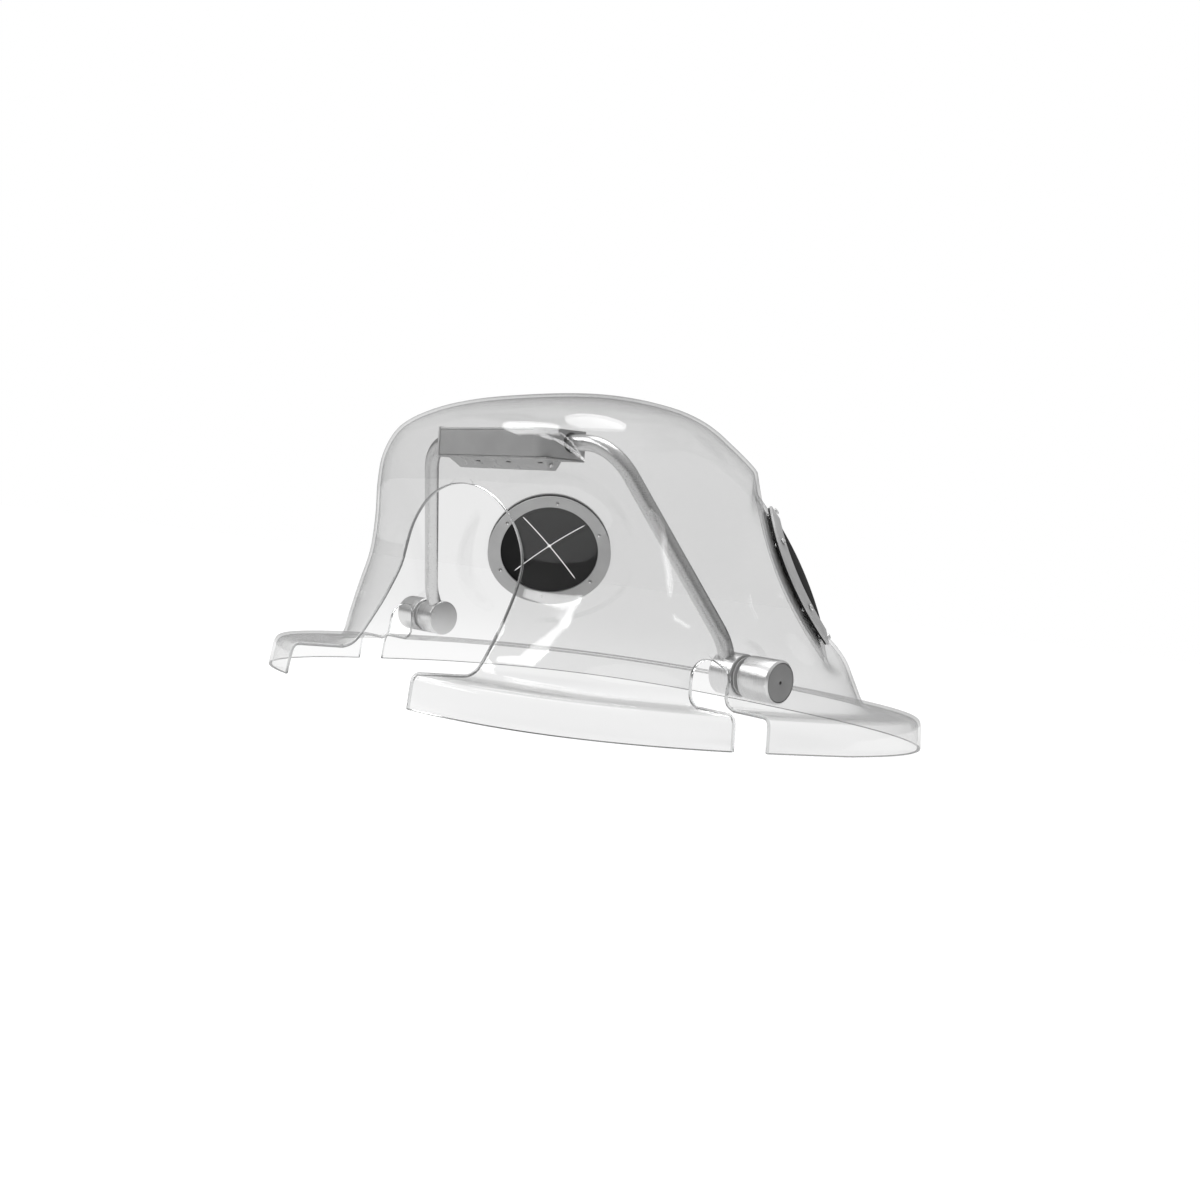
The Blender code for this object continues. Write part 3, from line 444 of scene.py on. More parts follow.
def shell_rings():
    angles = [2.0 * math.pi * (i + 0.5) / SHELL_COLUMNS for i in range(SHELL_COLUMNS)]
    rings = []
    for height, inset in SKIRT_ROWS:
        plan = (SKIRT_HALF - inset, -SKIRT_HALF + inset, SKIRT_REAR - inset, SKIRT_MIDDLE,
                SKIRT_POWERS, SKIRT_TAPER)
        rings.append(plan_ring(angles, height, plan))
    wall = []
    for step in range((len(WALL_STATIONS) - 1) * STATION_STEPS + 1):
        height, half, front, rear, power_front, power_rear, taper = \
            between_stations(step / STATION_STEPS)
        plan = (half, front, rear, (front + rear) / 2.0, (power_front, power_rear), taper)
        wall.append(plan_ring(angles, height, plan))
    for step in range(1, FLANGE_STEPS):
        share = step / FLANGE_STEPS
        rings.append([a.lerp(b, share) for a, b in zip(rings[len(SKIRT_ROWS) - 1], wall[0])])
    rings += wall
    top = wall[-1]
    rise = CROWN.z - top[0].z
    for step in range(1, CROWN_STEPS):
        share = 1.0 - step / CROWN_STEPS
        ring = [CROWN.lerp(point, share) for point in top]
        for point in ring:
            point.z = CROWN.z - rise * share * share
        rings.append(ring)
    return rings


def refine(bm, centre, radius, cuts):
    near = [face for face in bm.faces if (face.calc_center_median() - centre).length < radius]
    edges = list({edge for face in near for edge in face.edges})
    bmesh.ops.subdivide_edges(bm, edges=edges, cuts=cuts, use_grid_fill=True)


def arch_outline(y, steps=64):
    outline = [Vector((ARCH_FOOT_HALF_WIDTH, y, CUT_FLOOR))]
    for i in range(steps + 1):
        angle = math.pi * i / steps
        outline.append(Vector((ARCH_HALF_WIDTH * math.cos(angle), y,
                               ARCH_SPRING + (ARCH_TOP - ARCH_SPRING) * math.sin(angle))))
    outline.append(Vector((-ARCH_FOOT_HALF_WIDTH, y, CUT_FLOOR)))
    return outline


def notch_outline(x, steps=32):
    radius = NOTCH_WIDTH / 2.0
    outline = [Vector((x, NOTCH_Y + radius, CUT_FLOOR))]
    for i in range(steps + 1):
        angle = math.pi * i / steps
        outline.append(Vector((x, NOTCH_Y + radius * math.cos(angle),
                               NOTCH_TOP - radius + radius * math.sin(angle))))
    outline.append(Vector((x, NOTCH_Y - radius, CUT_FLOOR)))
    return outline


def shell_cutters():
    cutters = [prism(arch_outline(ARCH_CUT_Y), (0.0, ARCH_CUT_LENGTH, 0.0))]
    for side, _ in SIDES:
        cutters.append(prism(notch_outline(side * NOTCH_CUT_X),
                             (side * NOTCH_CUT_LENGTH, 0.0, 0.0)))
        start = Vector((side * (PAD_X - PIVOT_CUT_REACH), PIVOT.y, PIVOT.z))
        cutters.append(rod(start, (side, 0.0, 0.0), BUSH_RADIUS + GAP,
                           2.0 * PIVOT_CUT_REACH, HOLE_SIDES))
        normal = mirrored(PORT_NORMAL, side)
        start = mirrored(PORT_CENTRE, side) - normal * PORT_CUT_REACH
        cutters.append(rod(start, normal, PORT_CUT, 2.0 * PORT_CUT_REACH, PORT_SIDES))
        cutters += port_drills(side)
    return joined(cutters)


def make_shell():
    bm = loft(shell_rings(), caps=False)
    height = max(vert.co.z for vert in bm.verts)
    crown = bm.verts.new(CROWN)
    for edge in [e for e in bm.edges if e.is_boundary and e.verts[0].co.z > height - 1e-6]:
        bm.faces.new((*edge.verts, crown))
    for side, _ in SIDES:
        refine(bm, Vector((side * PAD_X, PIVOT.y, PIVOT.z)), PAD_REFINE_RADIUS, 3)
        refine(bm, mirrored(PORT_CENTRE, side), PORT_REFINE_RADIUS, 1)
    for vert in bm.verts:
        if vert.co.z > FLANGE_TOP + 0.001:
            shape_port(vert.co)
            shape_pad(vert.co)
    shell = add_piece("clear_shell", bm)
    shell.data.materials.append(MATERIALS["clear"])
    shell.data.materials.append(MATERIALS["edge"])
    solidify = shell.modifiers.new("wall", 'SOLIDIFY')
    solidify.thickness = SHELL_THICKNESS
    solidify.offset = -1.0
    solidify.use_even_offset = True
    apply_modifiers(shell)
    below_floor = box_mesh((-CUT_HALF, -CUT_HALF, CUT_DEPTH), (CUT_HALF, CUT_HALF, 0.0))
    subtract(shell, below_floor, MATERIALS["edge"])
    subtract(shell, shell_cutters(), MATERIALS["edge"])
    bevel = shell.modifiers.new("polished_edge", 'BEVEL')
    bevel.width = EDGE_POLISH
    bevel.segments = 2
    bevel.limit_method = 'ANGLE'
    bevel.angle_limit = math.radians(EDGE_ANGLE)
    bevel.use_clamp_overlap = False
    bevel.material = 1
    apply_modifiers(shell)
    shade(shell.data, THIN_SHARP)
    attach(shell, "hood")
    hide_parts("hood_shell")


# ------------------------------ hand ports
def annulus(name, inner, outer, low, high, side, segments=PORT_SIDES):
    """A ring bent to the wall, with softened corners."""
    section = rounded_profile(((inner, low), (outer, low), (outer, high), (inner, high)),
                              RING_SOFTENING, 3, closed=True)
    rings = []
    for i in range(segments):
        angle = 2.0 * math.pi * i / segments
        rings.append([port_point(r * math.cos(angle), r * math.sin(angle), w, side)
                      for r, w in section])
    return add_piece(name, loft(rings, close_along=True), THIN_SHARP)


def drill_ring(ring, side):
    subtract(ring, joined(port_drills(side)))
    shade(ring.data, THIN_SHARP)


def membrane_quarter(name, side, quarter, rows=26, columns=20):
    """A quarter of the rubber sheet, from its tip to its clamped edge."""
    levels = (PORT_GAP, PORT_GAP + MEMBRANE_THICKNESS)
    bm = bmesh.new()
    grids = []
    for level in levels:
        grid = []
        for i in range(rows + 1):
            reach = FLAP_TIP + (MEMBRANE_RADIUS - FLAP_TIP) * i / rows
            closing = smoothstep(reach, SLIT_REACH - SLIT_FADE, SLIT_REACH)
            gap = SLIT_HALF_GAP * (1.0 - closing)
            half = math.pi / 4.0 - math.asin((gap + SLIT_MARGIN) / reach)
            row = []
            for j in range(columns + 1):
                angle = quarter * math.pi / 2.0 + half * (2.0 * j / columns - 1.0)
                row.append(bm.verts.new(port_point(reach * math.cos(angle),
                                                   reach * math.sin(angle), level, side)))
            grid.append(row)
        grids.append(grid)
    for grid in grids:
        for near, far in zip(grid, grid[1:]):
            for j in range(columns):
                bm.faces.new((near[j], near[j + 1], far[j + 1], far[j]))
    rims = []
    for grid in grids:
        left = [row[0] for row in grid[1:-1]]
        right = [row[-1] for row in grid[1:-1]]
        rims.append(grid[0] + right + grid[-1][::-1] + left[::-1])
    for i in range(len(rims[0])):
        j = (i + 1) % len(rims[0])
        bm.faces.new((rims[0][i], rims[0][j], rims[1][j], rims[1][i]))
    return add_piece(name, bm, THIN_SHARP)


def make_membrane(side, name):
    for quarter in range(4):
        piece_name = "%s_membrane_%d" % (name, quarter + 1)
        piece = membrane_quarter(piece_name, side, quarter)
        piece.data.materials.append(MATERIALS["rubber"])
        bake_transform(piece)
        nodes = ["%s_flap_%d" % (name, quarter + 1)]
        if quarter == 0:
            nodes.append(name + "_membrane_rim")
        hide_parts(*nodes)


def make_port_screw(side, name, index, place):
    """Pan-head screw with a round recess in its head."""
    u, v = place
    direction = port_direction(u, v, side)
    seat = PORT_GAP * 2.0 + MEMBRANE_THICKNESS + RING_THICKNESS + PORT_SCREW_LIFT
    tail = -(SHELL_THICKNESS + RING_THICKNESS + 0.0040)
    head = PORT_SCREW_HEAD
    profile = [(tail, PORT_SCREW_RADIUS * 0.6), (tail + 0.0008, PORT_SCREW_RADIUS),
               (seat, PORT_SCREW_RADIUS), (seat, head - 0.0003), (seat + 0.0003, head),
               (seat + 0.0012, head), (seat + 0.0018, head * 0.86), (seat + 0.0023, head * 0.62),
               (seat + 0.0024, head * 0.46), (seat + 0.0014, head * 0.42)]
    bm = turned(profile, port_point(u, v, 0.0, side), direction, SCREW_SIDES)
    screw = add_piece("%s_ring_screw_%d" % (name, index + 1), bm)
    finish_piece(screw, "hood", "screw_steel", MATERIALS["steel"],
                 "%s_port_screw_%d" % (name, index + 1))


def make_port(side, name):
    low = PORT_GAP * 2.0 + MEMBRANE_THICKNESS
    outer = annulus(name + "_outer_ring", PORT_OPENING, PORT_RING_RADIUS, low,
                    low + RING_THICKNESS, side)
    drill_ring(outer, side)
    finish_piece(outer, "hood", "ring_grey", MATERIALS["ring"], name + "_port_outer_ring")
    top = -SHELL_THICKNESS * BEND_ALLOWANCE - PORT_GAP
    inner = annulus(name + "_inner_ring", PORT_OPENING, PORT_RING_RADIUS,
                    top - RING_THICKNESS, top, side)
    drill_ring(inner, side)
    finish_piece(inner, "hood", "ring_grey", MATERIALS["ring"], name + "_port_inner_ring")
    make_membrane(side, name)
    for index, place in enumerate(port_screw_places()):
        make_port_screw(side, name, index, place)


# ------------------------------ bail
def bail_point(x, along):
    return Vector((x, PIVOT.y - along * math.sin(BAIL_LEAN), PIVOT.z + along * math.cos(BAIL_LEAN)))


def rounded_path(corners, radii, steps):
    points = [corners[0]]
    for before, corner, after, radius in zip(corners, corners[1:], corners[2:], radii):
        back = (before - corner).normalized()
        ahead = (after - corner).normalized()
        half = back.angle(ahead) / 2.0
        centre = corner + (back + ahead).normalized() * (radius / math.sin(half))
        start = corner + back * (radius / math.tan(half)) - centre
        end = corner + ahead * (radius / math.tan(half)) - centre
        for i in range(steps + 1):
            points.append(centre + start.slerp(end, i / steps) * radius)
    points.append(corners[-1])
    return points


def make_tube():
    """The bent tube, swept along its leaning plane."""
    corners = [bail_point(BAIL_LEG_X, BAIL_SOCKET), bail_point(BAIL_LEG_X, BAIL_KNEE),
               bail_point(BAIL_SHOULDER_X, BAIL_TOP), bail_point(-BAIL_SHOULDER_X, BAIL_TOP),
               bail_point(-BAIL_LEG_X, BAIL_KNEE), bail_point(-BAIL_LEG_X, BAIL_SOCKET)]
    path = rounded_path(corners, (KNEE_RADIUS, SHOULDER_RADIUS, SHOULDER_RADIUS, KNEE_RADIUS),
                        BEND_STEPS)
    plane = Vector((0.0, -math.cos(BAIL_LEAN), -math.sin(BAIL_LEAN)))
    outer = []
    inner = []
    for i, point in enumerate(path):
        along = (path[min(i + 1, len(path) - 1)] - path[max(i - 1, 0)]).normalized()
        across = along.cross(plane).normalized()
        outer.append(circle(point, plane, across, TUBE_RADIUS, HOLE_SIDES))
        inner.append(circle(point, plane, across, TUBE_RADIUS - TUBE_WALL, HOLE_SIDES))
    tube = add_piece("bent_tube", loft(outer + inner[::-1], close_along=True), THIN_SHARP)
    finish_piece(tube, "bail", "satin_aluminium", MATERIALS["brushed_tube"], "bail_tube")


def turned_piece(name, profile, side, start_x, body, slot, material, node, hollow=False,
                 rounding=0.0004, cutter=None):
    outline = rounded_profile(profile, rounding, 3, closed=hollow)
    start = Vector((side * start_x, PIVOT.y, PIVOT.z))
    bm = turned(outline, start, (side, 0.0, 0.0), BARREL_SIDES, hollow=hollow)
    piece = add_piece(name, bm, TURNED_SHARP)
    if cutter is not None:
        subtract(piece, cutter)
        shade(piece.data, TURNED_SHARP)
    return finish_piece(piece, body, slot, MATERIALS[material], node)


def box_along_x(node, side):
    """Where a node starts and ends, outward from the middle."""
    low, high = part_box(node)
    return (low.x, high.x) if side > 0.0 else (-high.x, -low.x)


def make_pivot(side, name):
    """Barrel, stud, washers, bush and clamp knob of one bail pivot."""
    start, end = box_along_x(name + "_inner_barrel", side)
    length = end - start
    bore = AXLE_RADIUS + GAP
    edge = BARREL_RADIUS - BARREL_CHAMFER
    floor = length - BARREL_SOCKET_DEPTH
    profile = ((0.0, END_DISC), (0.0, edge), (BARREL_CHAMFER, BARREL_RADIUS),
               (length - BARREL_CHAMFER, BARREL_RADIUS), (length, edge), (length, bore),
               (floor, bore), (floor, END_DISC))
    foot = bail_point(side * BAIL_LEG_X, BAIL_SOCKET - GAP)
    direction = bail_point(0.0, 1.0) - bail_point(0.0, 0.0)
    socket = rod(foot, direction, TUBE_RADIUS + TUBE_CLEARANCE, TUBE_SOCKET_CUT, HOLE_SIDES)
    turned_piece(name + "_barrel", profile, side, start, "bail", "satin_aluminium",
                 "turned_metal", name + "_inner_barrel", cutter=socket)

    start, end = box_along_x(name + "_axle_stud", side)
    length = end - start
    edge = AXLE_RADIUS - AXLE_CHAMFER
    profile = ((0.0, END_DISC), (0.0, edge), (AXLE_CHAMFER, AXLE_RADIUS),
               (length - AXLE_CHAMFER, AXLE_RADIUS), (length, edge), (length, END_DISC))
    turned_piece(name + "_stud", profile, side, start, "bail", "screw_steel", "steel",
                 name + "_axle_stud")

    for node, body in (("_inner_washer", "bail"), ("_outer_washer", "hood")):
        start, end = box_along_x(name + node, side)
        bore = BUSH_RADIUS + GAP
        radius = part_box(name + node)[1].z - PIVOT.z
        turned_piece(name + node + "_disc", ((0.0, bore), (0.0, radius), (end - start, radius),
                                             (end - start, bore)),
                     side, start, body, "nylon_washer", "nylon", name + node, hollow=True)
    start, end = box_along_x(name + "_wall_bush", side)
    bore = AXLE_RADIUS + GAP
    turned_piece(name + "_bush", ((0.0, bore), (0.0, BUSH_RADIUS), (end - start, BUSH_RADIUS),
                                  (end - start, bore)),
                 side, start, "hood", "nylon_washer", "nylon", name + "_wall_bush", hollow=True)

    start, end = box_along_x(name + "_clamp_knob", side)
    length = end - start
    face = BARREL_RADIUS - KNOB_CHAMFER
    floor = length - KNOB_RECESS
    profile = ((0.0, bore), (0.0, BARREL_RADIUS - BARREL_CHAMFER),
               (BARREL_CHAMFER, BARREL_RADIUS), (length - KNOB_CHAMFER, BARREL_RADIUS),
               (length, face), (floor, face - KNOB_LIP), (floor, bore))
    turned_piece(name + "_knob", profile, side, start, name + "_knob", "satin_aluminium",
                 "turned_metal", name + "_clamp_knob", hollow=True)
    start, end = box_along_x(name + "_knob_end_disc", side)
    rim = face - KNOB_LIP - GAP
    profile = ((0.0, KNOB_FACE_HOLE), (0.0, rim), (end - start, rim),
               (end - start, KNOB_FACE_HOLE))
    turned_piece(name + "_knob_face", profile, side, start, name + "_knob", "dark_grey_metal",
                 "dark_metal", name + "_knob_end_disc", hollow=True, rounding=0.0003)


# ------------------------------ lamp housing
HOUSING_PITCH = math.radians(5.0)
HOUSING_LEFT = -0.1050
HOUSING_RIGHT = 0.0826
HOUSING_FRONT = -0.0380
HOUSING_BACK = 0.0228
HOUSING_BOTTOM = -0.0195
HOUSING_TOP = 0.0119
HOUSING_WALL = 0.0025
COVER_BASE = HOUSING_TOP + GAP
COVER_FACE = COVER_BASE + 0.0025
CAP_START = HOUSING_RIGHT + GAP
CAP_END = CAP_START + 0.0234
CAP_FRONT = HOUSING_FRONT - 0.0020
CAP_CORNER = 0.0220
PLATE_END = HOUSING_LEFT - GAP
PLATE_THICKNESS = 0.0035
PLATE_LIP = 0.0010
TILT_BUSH_RADIUS = 0.0116
TILT_BUSH_LENGTH = 0.0160
COVER_SCREW_PLACES = (-0.0700, 0.0740)
COVER_DRILL_RADIUS = 0.0020
COVER_DRILL_DEPTH = 0.006
COVER_SCREW_HEAD = 0.0032
CAP_BORE = 0.034
PLATE_BORE = 0.020
FINE_EDGE = 0.0006
SOFT_EDGE = 0.0008
WINDOW_TOP = HOUSING_BOTTOM - GAP
FLANGE_FACE = WINDOW_TOP - 0.0020
WINDOW_DROP = 0.0125
WINDOW_BASE = FLANGE_FACE - WINDOW_DROP
WINDOW_LEFT = -0.0930
WINDOW_RIGHT = 0.0980
WINDOW_FRONT = -0.0330
WINDOW_BACK = -0.0050
WINDOW_WALL = 0.0020
WINDOW_END_LEAN = 0.0080
WINDOW_FRONT_LEAN = 0.0150
WINDOW_BACK_LEAN = 0.0020
WINDOW_SCREW_HEAD = 0.0026
WINDOW_SCREW_Y = -0.0190
LAMP_PLACES = (-0.0350, 0.0250, 0.0850)
LAMP_SIZE = Vector((0.0110, 0.0070, 0.0018))
LAMP_Y = -0.0180
BOARD_THICKNESS = 0.0016
BOARD_INSET = 0.0045
VENT_SIZE = Vector((0.0090, 0.0120, 0.0012))
HOUSING_FRAME = Matrix.Translation(TILT_POINT) @ Matrix.Rotation(HOUSING_PITCH, 4, 'X')


def housing_piece(name, bm, slot, material, node, smooth_angle=PLAIN_SHARP, cutter=None):
    """Add a piece made level, tip it with the housing and let it ride the lamp head."""
    piece = add_piece(name, bm, smooth_angle)
    if cutter is not None:
        subtract(piece, cutter)
        shade(piece.data, smooth_angle)
    piece.data.transform(HOUSING_FRAME)
    return finish_piece(piece, "lamp_head", slot, MATERIALS[material], node)


def make_channel():
    inner_front = HOUSING_FRONT + HOUSING_WALL
    inner_back = HOUSING_BACK - HOUSING_WALL
    floor = HOUSING_BOTTOM + HOUSING_WALL
    outline = ((HOUSING_FRONT, HOUSING_BOTTOM), (HOUSING_BACK, HOUSING_BOTTOM),
               (HOUSING_BACK, HOUSING_TOP), (inner_back, HOUSING_TOP), (inner_back, floor),
               (inner_front, floor), (inner_front, HOUSING_TOP), (HOUSING_FRONT, HOUSING_TOP))
    points = [Vector((HOUSING_LEFT, y, z)) for y, z in outline]
    bm = prism(points, (HOUSING_RIGHT - HOUSING_LEFT, 0.0, 0.0))
    housing_piece("housing_channel", bevelled(bm, FINE_EDGE), "housing_grey", "housing",
                  "lamp_housing")


def make_cover():
    bm = box_mesh((HOUSING_LEFT, HOUSING_FRONT, COVER_BASE),
                  (HOUSING_RIGHT, HOUSING_BACK, COVER_FACE))
    drills = [rod((x, 0.0, COVER_BASE - 0.001), (0.0, 0.0, 1.0), COVER_DRILL_RADIUS,
                  COVER_DRILL_DEPTH, 24) for x in COVER_SCREW_PLACES]
    housing_piece("top_cover", bevelled(bm, 0.0007), "cover_light_grey", "cover",
                  "housing_cover", cutter=joined(drills))
    head = COVER_SCREW_HEAD
    for index, x in enumerate(COVER_SCREW_PLACES):
        profile = ((-0.0042, 0.0016), (0.0, 0.0016), (0.0, head - 0.0002), (0.0002, head),
                   (0.0010, head), (0.0016, head * 0.86), (0.0020, head * 0.6),
                   (0.0020, head * 0.42), (0.0012, head * 0.38))
        bm = turned(profile, (x, 0.0, COVER_FACE + GAP), (0.0, 0.0, 1.0), SCREW_SIDES)
        housing_piece("cover_screw_head_%d" % (index + 1), bm, "screw_steel", "dark_screw",
                      "cover_screw_%d" % (index + 1))


def make_cap():
    centre_x = CAP_END - CAP_CORNER
    centre_y = CAP_FRONT + CAP_CORNER
    outline = [(CAP_START, HOUSING_BACK), (CAP_START, CAP_FRONT)]
    steps = 32
    for i in range(steps + 1):
        angle = math.pi * 0.5 * (i / steps - 1.0)
        outline.append((centre_x + CAP_CORNER * math.cos(angle),
                        centre_y + CAP_CORNER * math.sin(angle)))
    outline.append((CAP_END, HOUSING_BACK))
    points = [Vector((x, y, HOUSING_BOTTOM)) for x, y in outline]
    bm = prism(points, (0.0, 0.0, COVER_FACE - HOUSING_BOTTOM))
    bore = rod((CAP_START - 0.005, 0.0, 0.0), (1.0, 0.0, 0.0), TILT_BUSH_RADIUS + GAP,
               CAP_BORE, BUSH_SIDES)
    housing_piece("end_cap", bevelled(bm, SOFT_EDGE), "housing_grey", "housing",
                  "right_end_cap", cutter=bore)


def make_plate():
    bm = box_mesh((PLATE_END - PLATE_THICKNESS, HOUSING_FRONT - PLATE_LIP,
                   FLANGE_FACE - PLATE_LIP),
                  (PLATE_END, HOUSING_BACK + PLATE_LIP, COVER_FACE + PLATE_LIP))
    bore = rod((PLATE_END - PLATE_BORE / 2.0, 0.0, 0.0), (1.0, 0.0, 0.0),
               TILT_BUSH_RADIUS + GAP, PLATE_BORE, BUSH_SIDES)
    housing_piece("end_plate", bevelled(bm, SOFT_EDGE), "cover_light_grey", "cover",
                  "left_end_plate", cutter=bore)


def make_bush(name, x):
    bore = TUBE_RADIUS + TUBE_CLEARANCE
    corners = ((0.0, bore), (0.0, TILT_BUSH_RADIUS), (TILT_BUSH_LENGTH, TILT_BUSH_RADIUS),
               (TILT_BUSH_LENGTH, bore))
    profile = rounded_profile(corners, 0.0004, 3, closed=True)
    bm = turned(profile, (x, 0.0, 0.0), (1.0, 0.0, 0.0), BUSH_SIDES, hollow=True)
    housing_piece(name + "_tilt_ring", bm, "dark_plastic", "dark_plastic",
                  name + "_tilt_bush")


def window_section(height, inset):
    lean = min(max((FLANGE_FACE - height) / WINDOW_DROP, 0.0), 1.0)
    left = WINDOW_LEFT + inset + WINDOW_END_LEAN * lean
    right = WINDOW_RIGHT - inset - WINDOW_END_LEAN * lean
    front = WINDOW_FRONT + inset + WINDOW_FRONT_LEAN * lean
    back = WINDOW_BACK - inset - WINDOW_BACK_LEAN * lean
    return [Vector((left, front, height)), Vector((right, front, height)),
            Vector((right, back, height)), Vector((left, back, height))]


def make_window():
    def flange(height):
        return [Vector((x, y, height)) for x, y in
                ((HOUSING_LEFT, HOUSING_FRONT), (CAP_END, HOUSING_FRONT),
                 (CAP_END, HOUSING_BACK), (HOUSING_LEFT, HOUSING_BACK))]

    rings = [window_section(WINDOW_BASE + WINDOW_WALL, WINDOW_WALL),
             window_section(WINDOW_TOP, WINDOW_WALL), flange(WINDOW_TOP), flange(FLANGE_FACE),
             window_section(FLANGE_FACE, 0.0), window_section(WINDOW_BASE, 0.0)]
    middle = (FLANGE_FACE + WINDOW_BASE) / 2.0 + 0.002
    vents = []
    for x in LAMP_PLACES:
        centre = Vector((x, WINDOW_FRONT + 0.0055, middle))
        vents.append(box_mesh(centre - VENT_SIZE / 2.0, centre + VENT_SIZE / 2.0))
    housing_piece("lamp_trough", bevelled(loft(rings), FINE_EDGE, 2, 25.0), "window_grey", "window",
                  "lamp_window", cutter=joined(vents))
    slope = Vector((WINDOW_DROP, 0.0, -WINDOW_END_LEAN)).normalized()
    head = WINDOW_SCREW_HEAD
    face = Vector((WINDOW_RIGHT - WINDOW_END_LEAN / 2.0, WINDOW_SCREW_Y,
                   FLANGE_FACE - WINDOW_DROP / 2.0))
    profile = ((0.0, head - 0.0002), (0.0002, head), (0.0010, head), (0.0015, head * 0.85),
               (0.0018, head * 0.6), (0.0018, head * 0.4), (0.0011, head * 0.36))
    housing_piece("trough_screw", turned(profile, face + slope * GAP, slope, SCREW_SIDES),
                  "screw_steel", "steel", "window_screw")


def make_lamps():
    top = WINDOW_TOP - GAP
    bm = box_mesh((WINDOW_LEFT + BOARD_INSET, WINDOW_FRONT + 0.0055, top - BOARD_THICKNESS),
                  (WINDOW_RIGHT - BOARD_INSET, WINDOW_BACK - BOARD_INSET, top))
    housing_piece("circuit_board", bevelled(bm, 0.0002, 2), "board_white", "board", "lamp_board")
    half = LAMP_SIZE / 2.0
    for index, x in enumerate(LAMP_PLACES):
        centre = Vector((x, LAMP_Y, top - GAP - BOARD_THICKNESS - half.z))
        bm = bevelled(box_mesh(centre - half, centre + half), 0.0005, 3)
        housing_piece("light_chip_%d" % (index + 1), bm, "lamp_cream", "lamp",
                      "lamp_%d" % (index + 1))


# ------------------------------ materials
def new_material(name, colour, roughness, metallic=0.0):
    material = bpy.data.materials.new(name)
    material.use_nodes = True
    shader = material.node_tree.nodes["Principled BSDF"]
    shader.inputs["Base Color"].default_value = (*colour, 1.0)
    shader.inputs["Roughness"].default_value = roughness
    shader.inputs["Metallic"].default_value = metallic
    return material, shader


def noise(material, scale, detail=3.0, stretch=(1.0, 1.0, 1.0)):
    """Noise over the object's own coordinates, in metres times scale."""
    nodes = material.node_tree.nodes
    links = material.node_tree.links
    place = nodes.new("ShaderNodeTexCoord")
    mapping = nodes.new("ShaderNodeMapping")
    mapping.inputs["Scale"].default_value = stretch
    texture = nodes.new("ShaderNodeTexNoise")
    texture.inputs["Scale"].default_value = scale
    texture.inputs["Detail"].default_value = detail
    links.new(place.outputs["Object"], mapping.inputs["Vector"])
    links.new(mapping.outputs["Vector"], texture.inputs["Vector"])
    return texture.outputs["Fac"]


# Noise stays mostly between these values.
NOISE_LOW = 0.3
NOISE_HIGH = 0.7


def spread(material, value, low, high):
    """Map noise onto a range."""
    node = material.node_tree.nodes.new("ShaderNodeMapRange")
    node.inputs["From Min"].default_value = NOISE_LOW
    node.inputs["From Max"].default_value = NOISE_HIGH
    node.inputs["To Min"].default_value = low
    node.inputs["To Max"].default_value = high
    material.node_tree.links.new(value, node.inputs["Value"])
    return node.outputs["Result"]


def vary_colour(material, shader, value, dark, light):
    ramp = material.node_tree.nodes.new("ShaderNodeValToRGB")
    ramp.color_ramp.elements[0].position = NOISE_LOW
    ramp.color_ramp.elements[0].color = (*dark, 1.0)
    ramp.color_ramp.elements[1].position = NOISE_HIGH
    ramp.color_ramp.elements[1].color = (*light, 1.0)
    material.node_tree.links.new(value, ramp.inputs["Fac"])
    material.node_tree.links.new(ramp.outputs["Color"], shader.inputs["Base Color"])


def bump(material, shader, value, distance, strength=1.0):
    node = material.node_tree.nodes.new("ShaderNodeBump")
    node.inputs["Distance"].default_value = distance
    node.inputs["Strength"].default_value = strength
    material.node_tree.links.new(value, node.inputs["Height"])
    material.node_tree.links.new(node.outputs["Normal"], shader.inputs["Normal"])


def moulded(name, tone, roughness, grain=1800.0, depth=0.000008):
    """Moulded plastic: fine texture and a slight unevenness of tone."""
    material, shader = new_material(name, (tone, tone, tone), roughness)
    vary_colour(material, shader, noise(material, 40.0), (tone * 0.94,) * 3, (tone * 1.05,) * 3)
    links = material.node_tree.links
    links.new(spread(material, noise(material, 90.0), roughness - 0.05, roughness + 0.05),
              shader.inputs["Roughness"])
    bump(material, shader, noise(material, grain, 2.0), depth)
    return material


def brushed(name, tone, roughness, stretch, depth=0.000006):
    """Satin metal with fine tool lines along one direction."""
    material, shader = new_material(name, (tone, tone, tone * 1.01), roughness, 1.0)
    lines = noise(material, 1.0, 4.0, stretch)
    vary_colour(material, shader, lines, (tone * 0.90,) * 3, (tone * 1.06,) * 3)
    links = material.node_tree.links
    links.new(spread(material, lines, roughness - 0.06, roughness + 0.08),
              shader.inputs["Roughness"])
    bump(material, shader, lines, depth)
    return material


def tone_ramp(tree, tones):
    """Colour ramp through (position, tone) pairs; the first and last are its ends."""
    ramp = tree.nodes.new("ShaderNodeValToRGB")
    stops = ramp.color_ramp.elements
    for position, tone in tones[1:-1]:
        stops.new(position).color = (tone, tone, tone, 1.0)
    for stop, (_, tone) in ((stops[0], tones[0]), (stops[-1], tones[-1])):
        stop.color = (tone, tone, tone, 1.0)
    return ramp


# How much light one face of the sheet lets through, from face on to edge on.
CLEAR_TINTS = ((0.0, 0.91), (0.50, 0.91), (0.85, 0.905), (1.0, 0.89))
MIRROR_FACE_ON = 0.03
MIRROR_EDGE_ON = 0.60
SHEET_WAVE_DEPTH = 0.0015


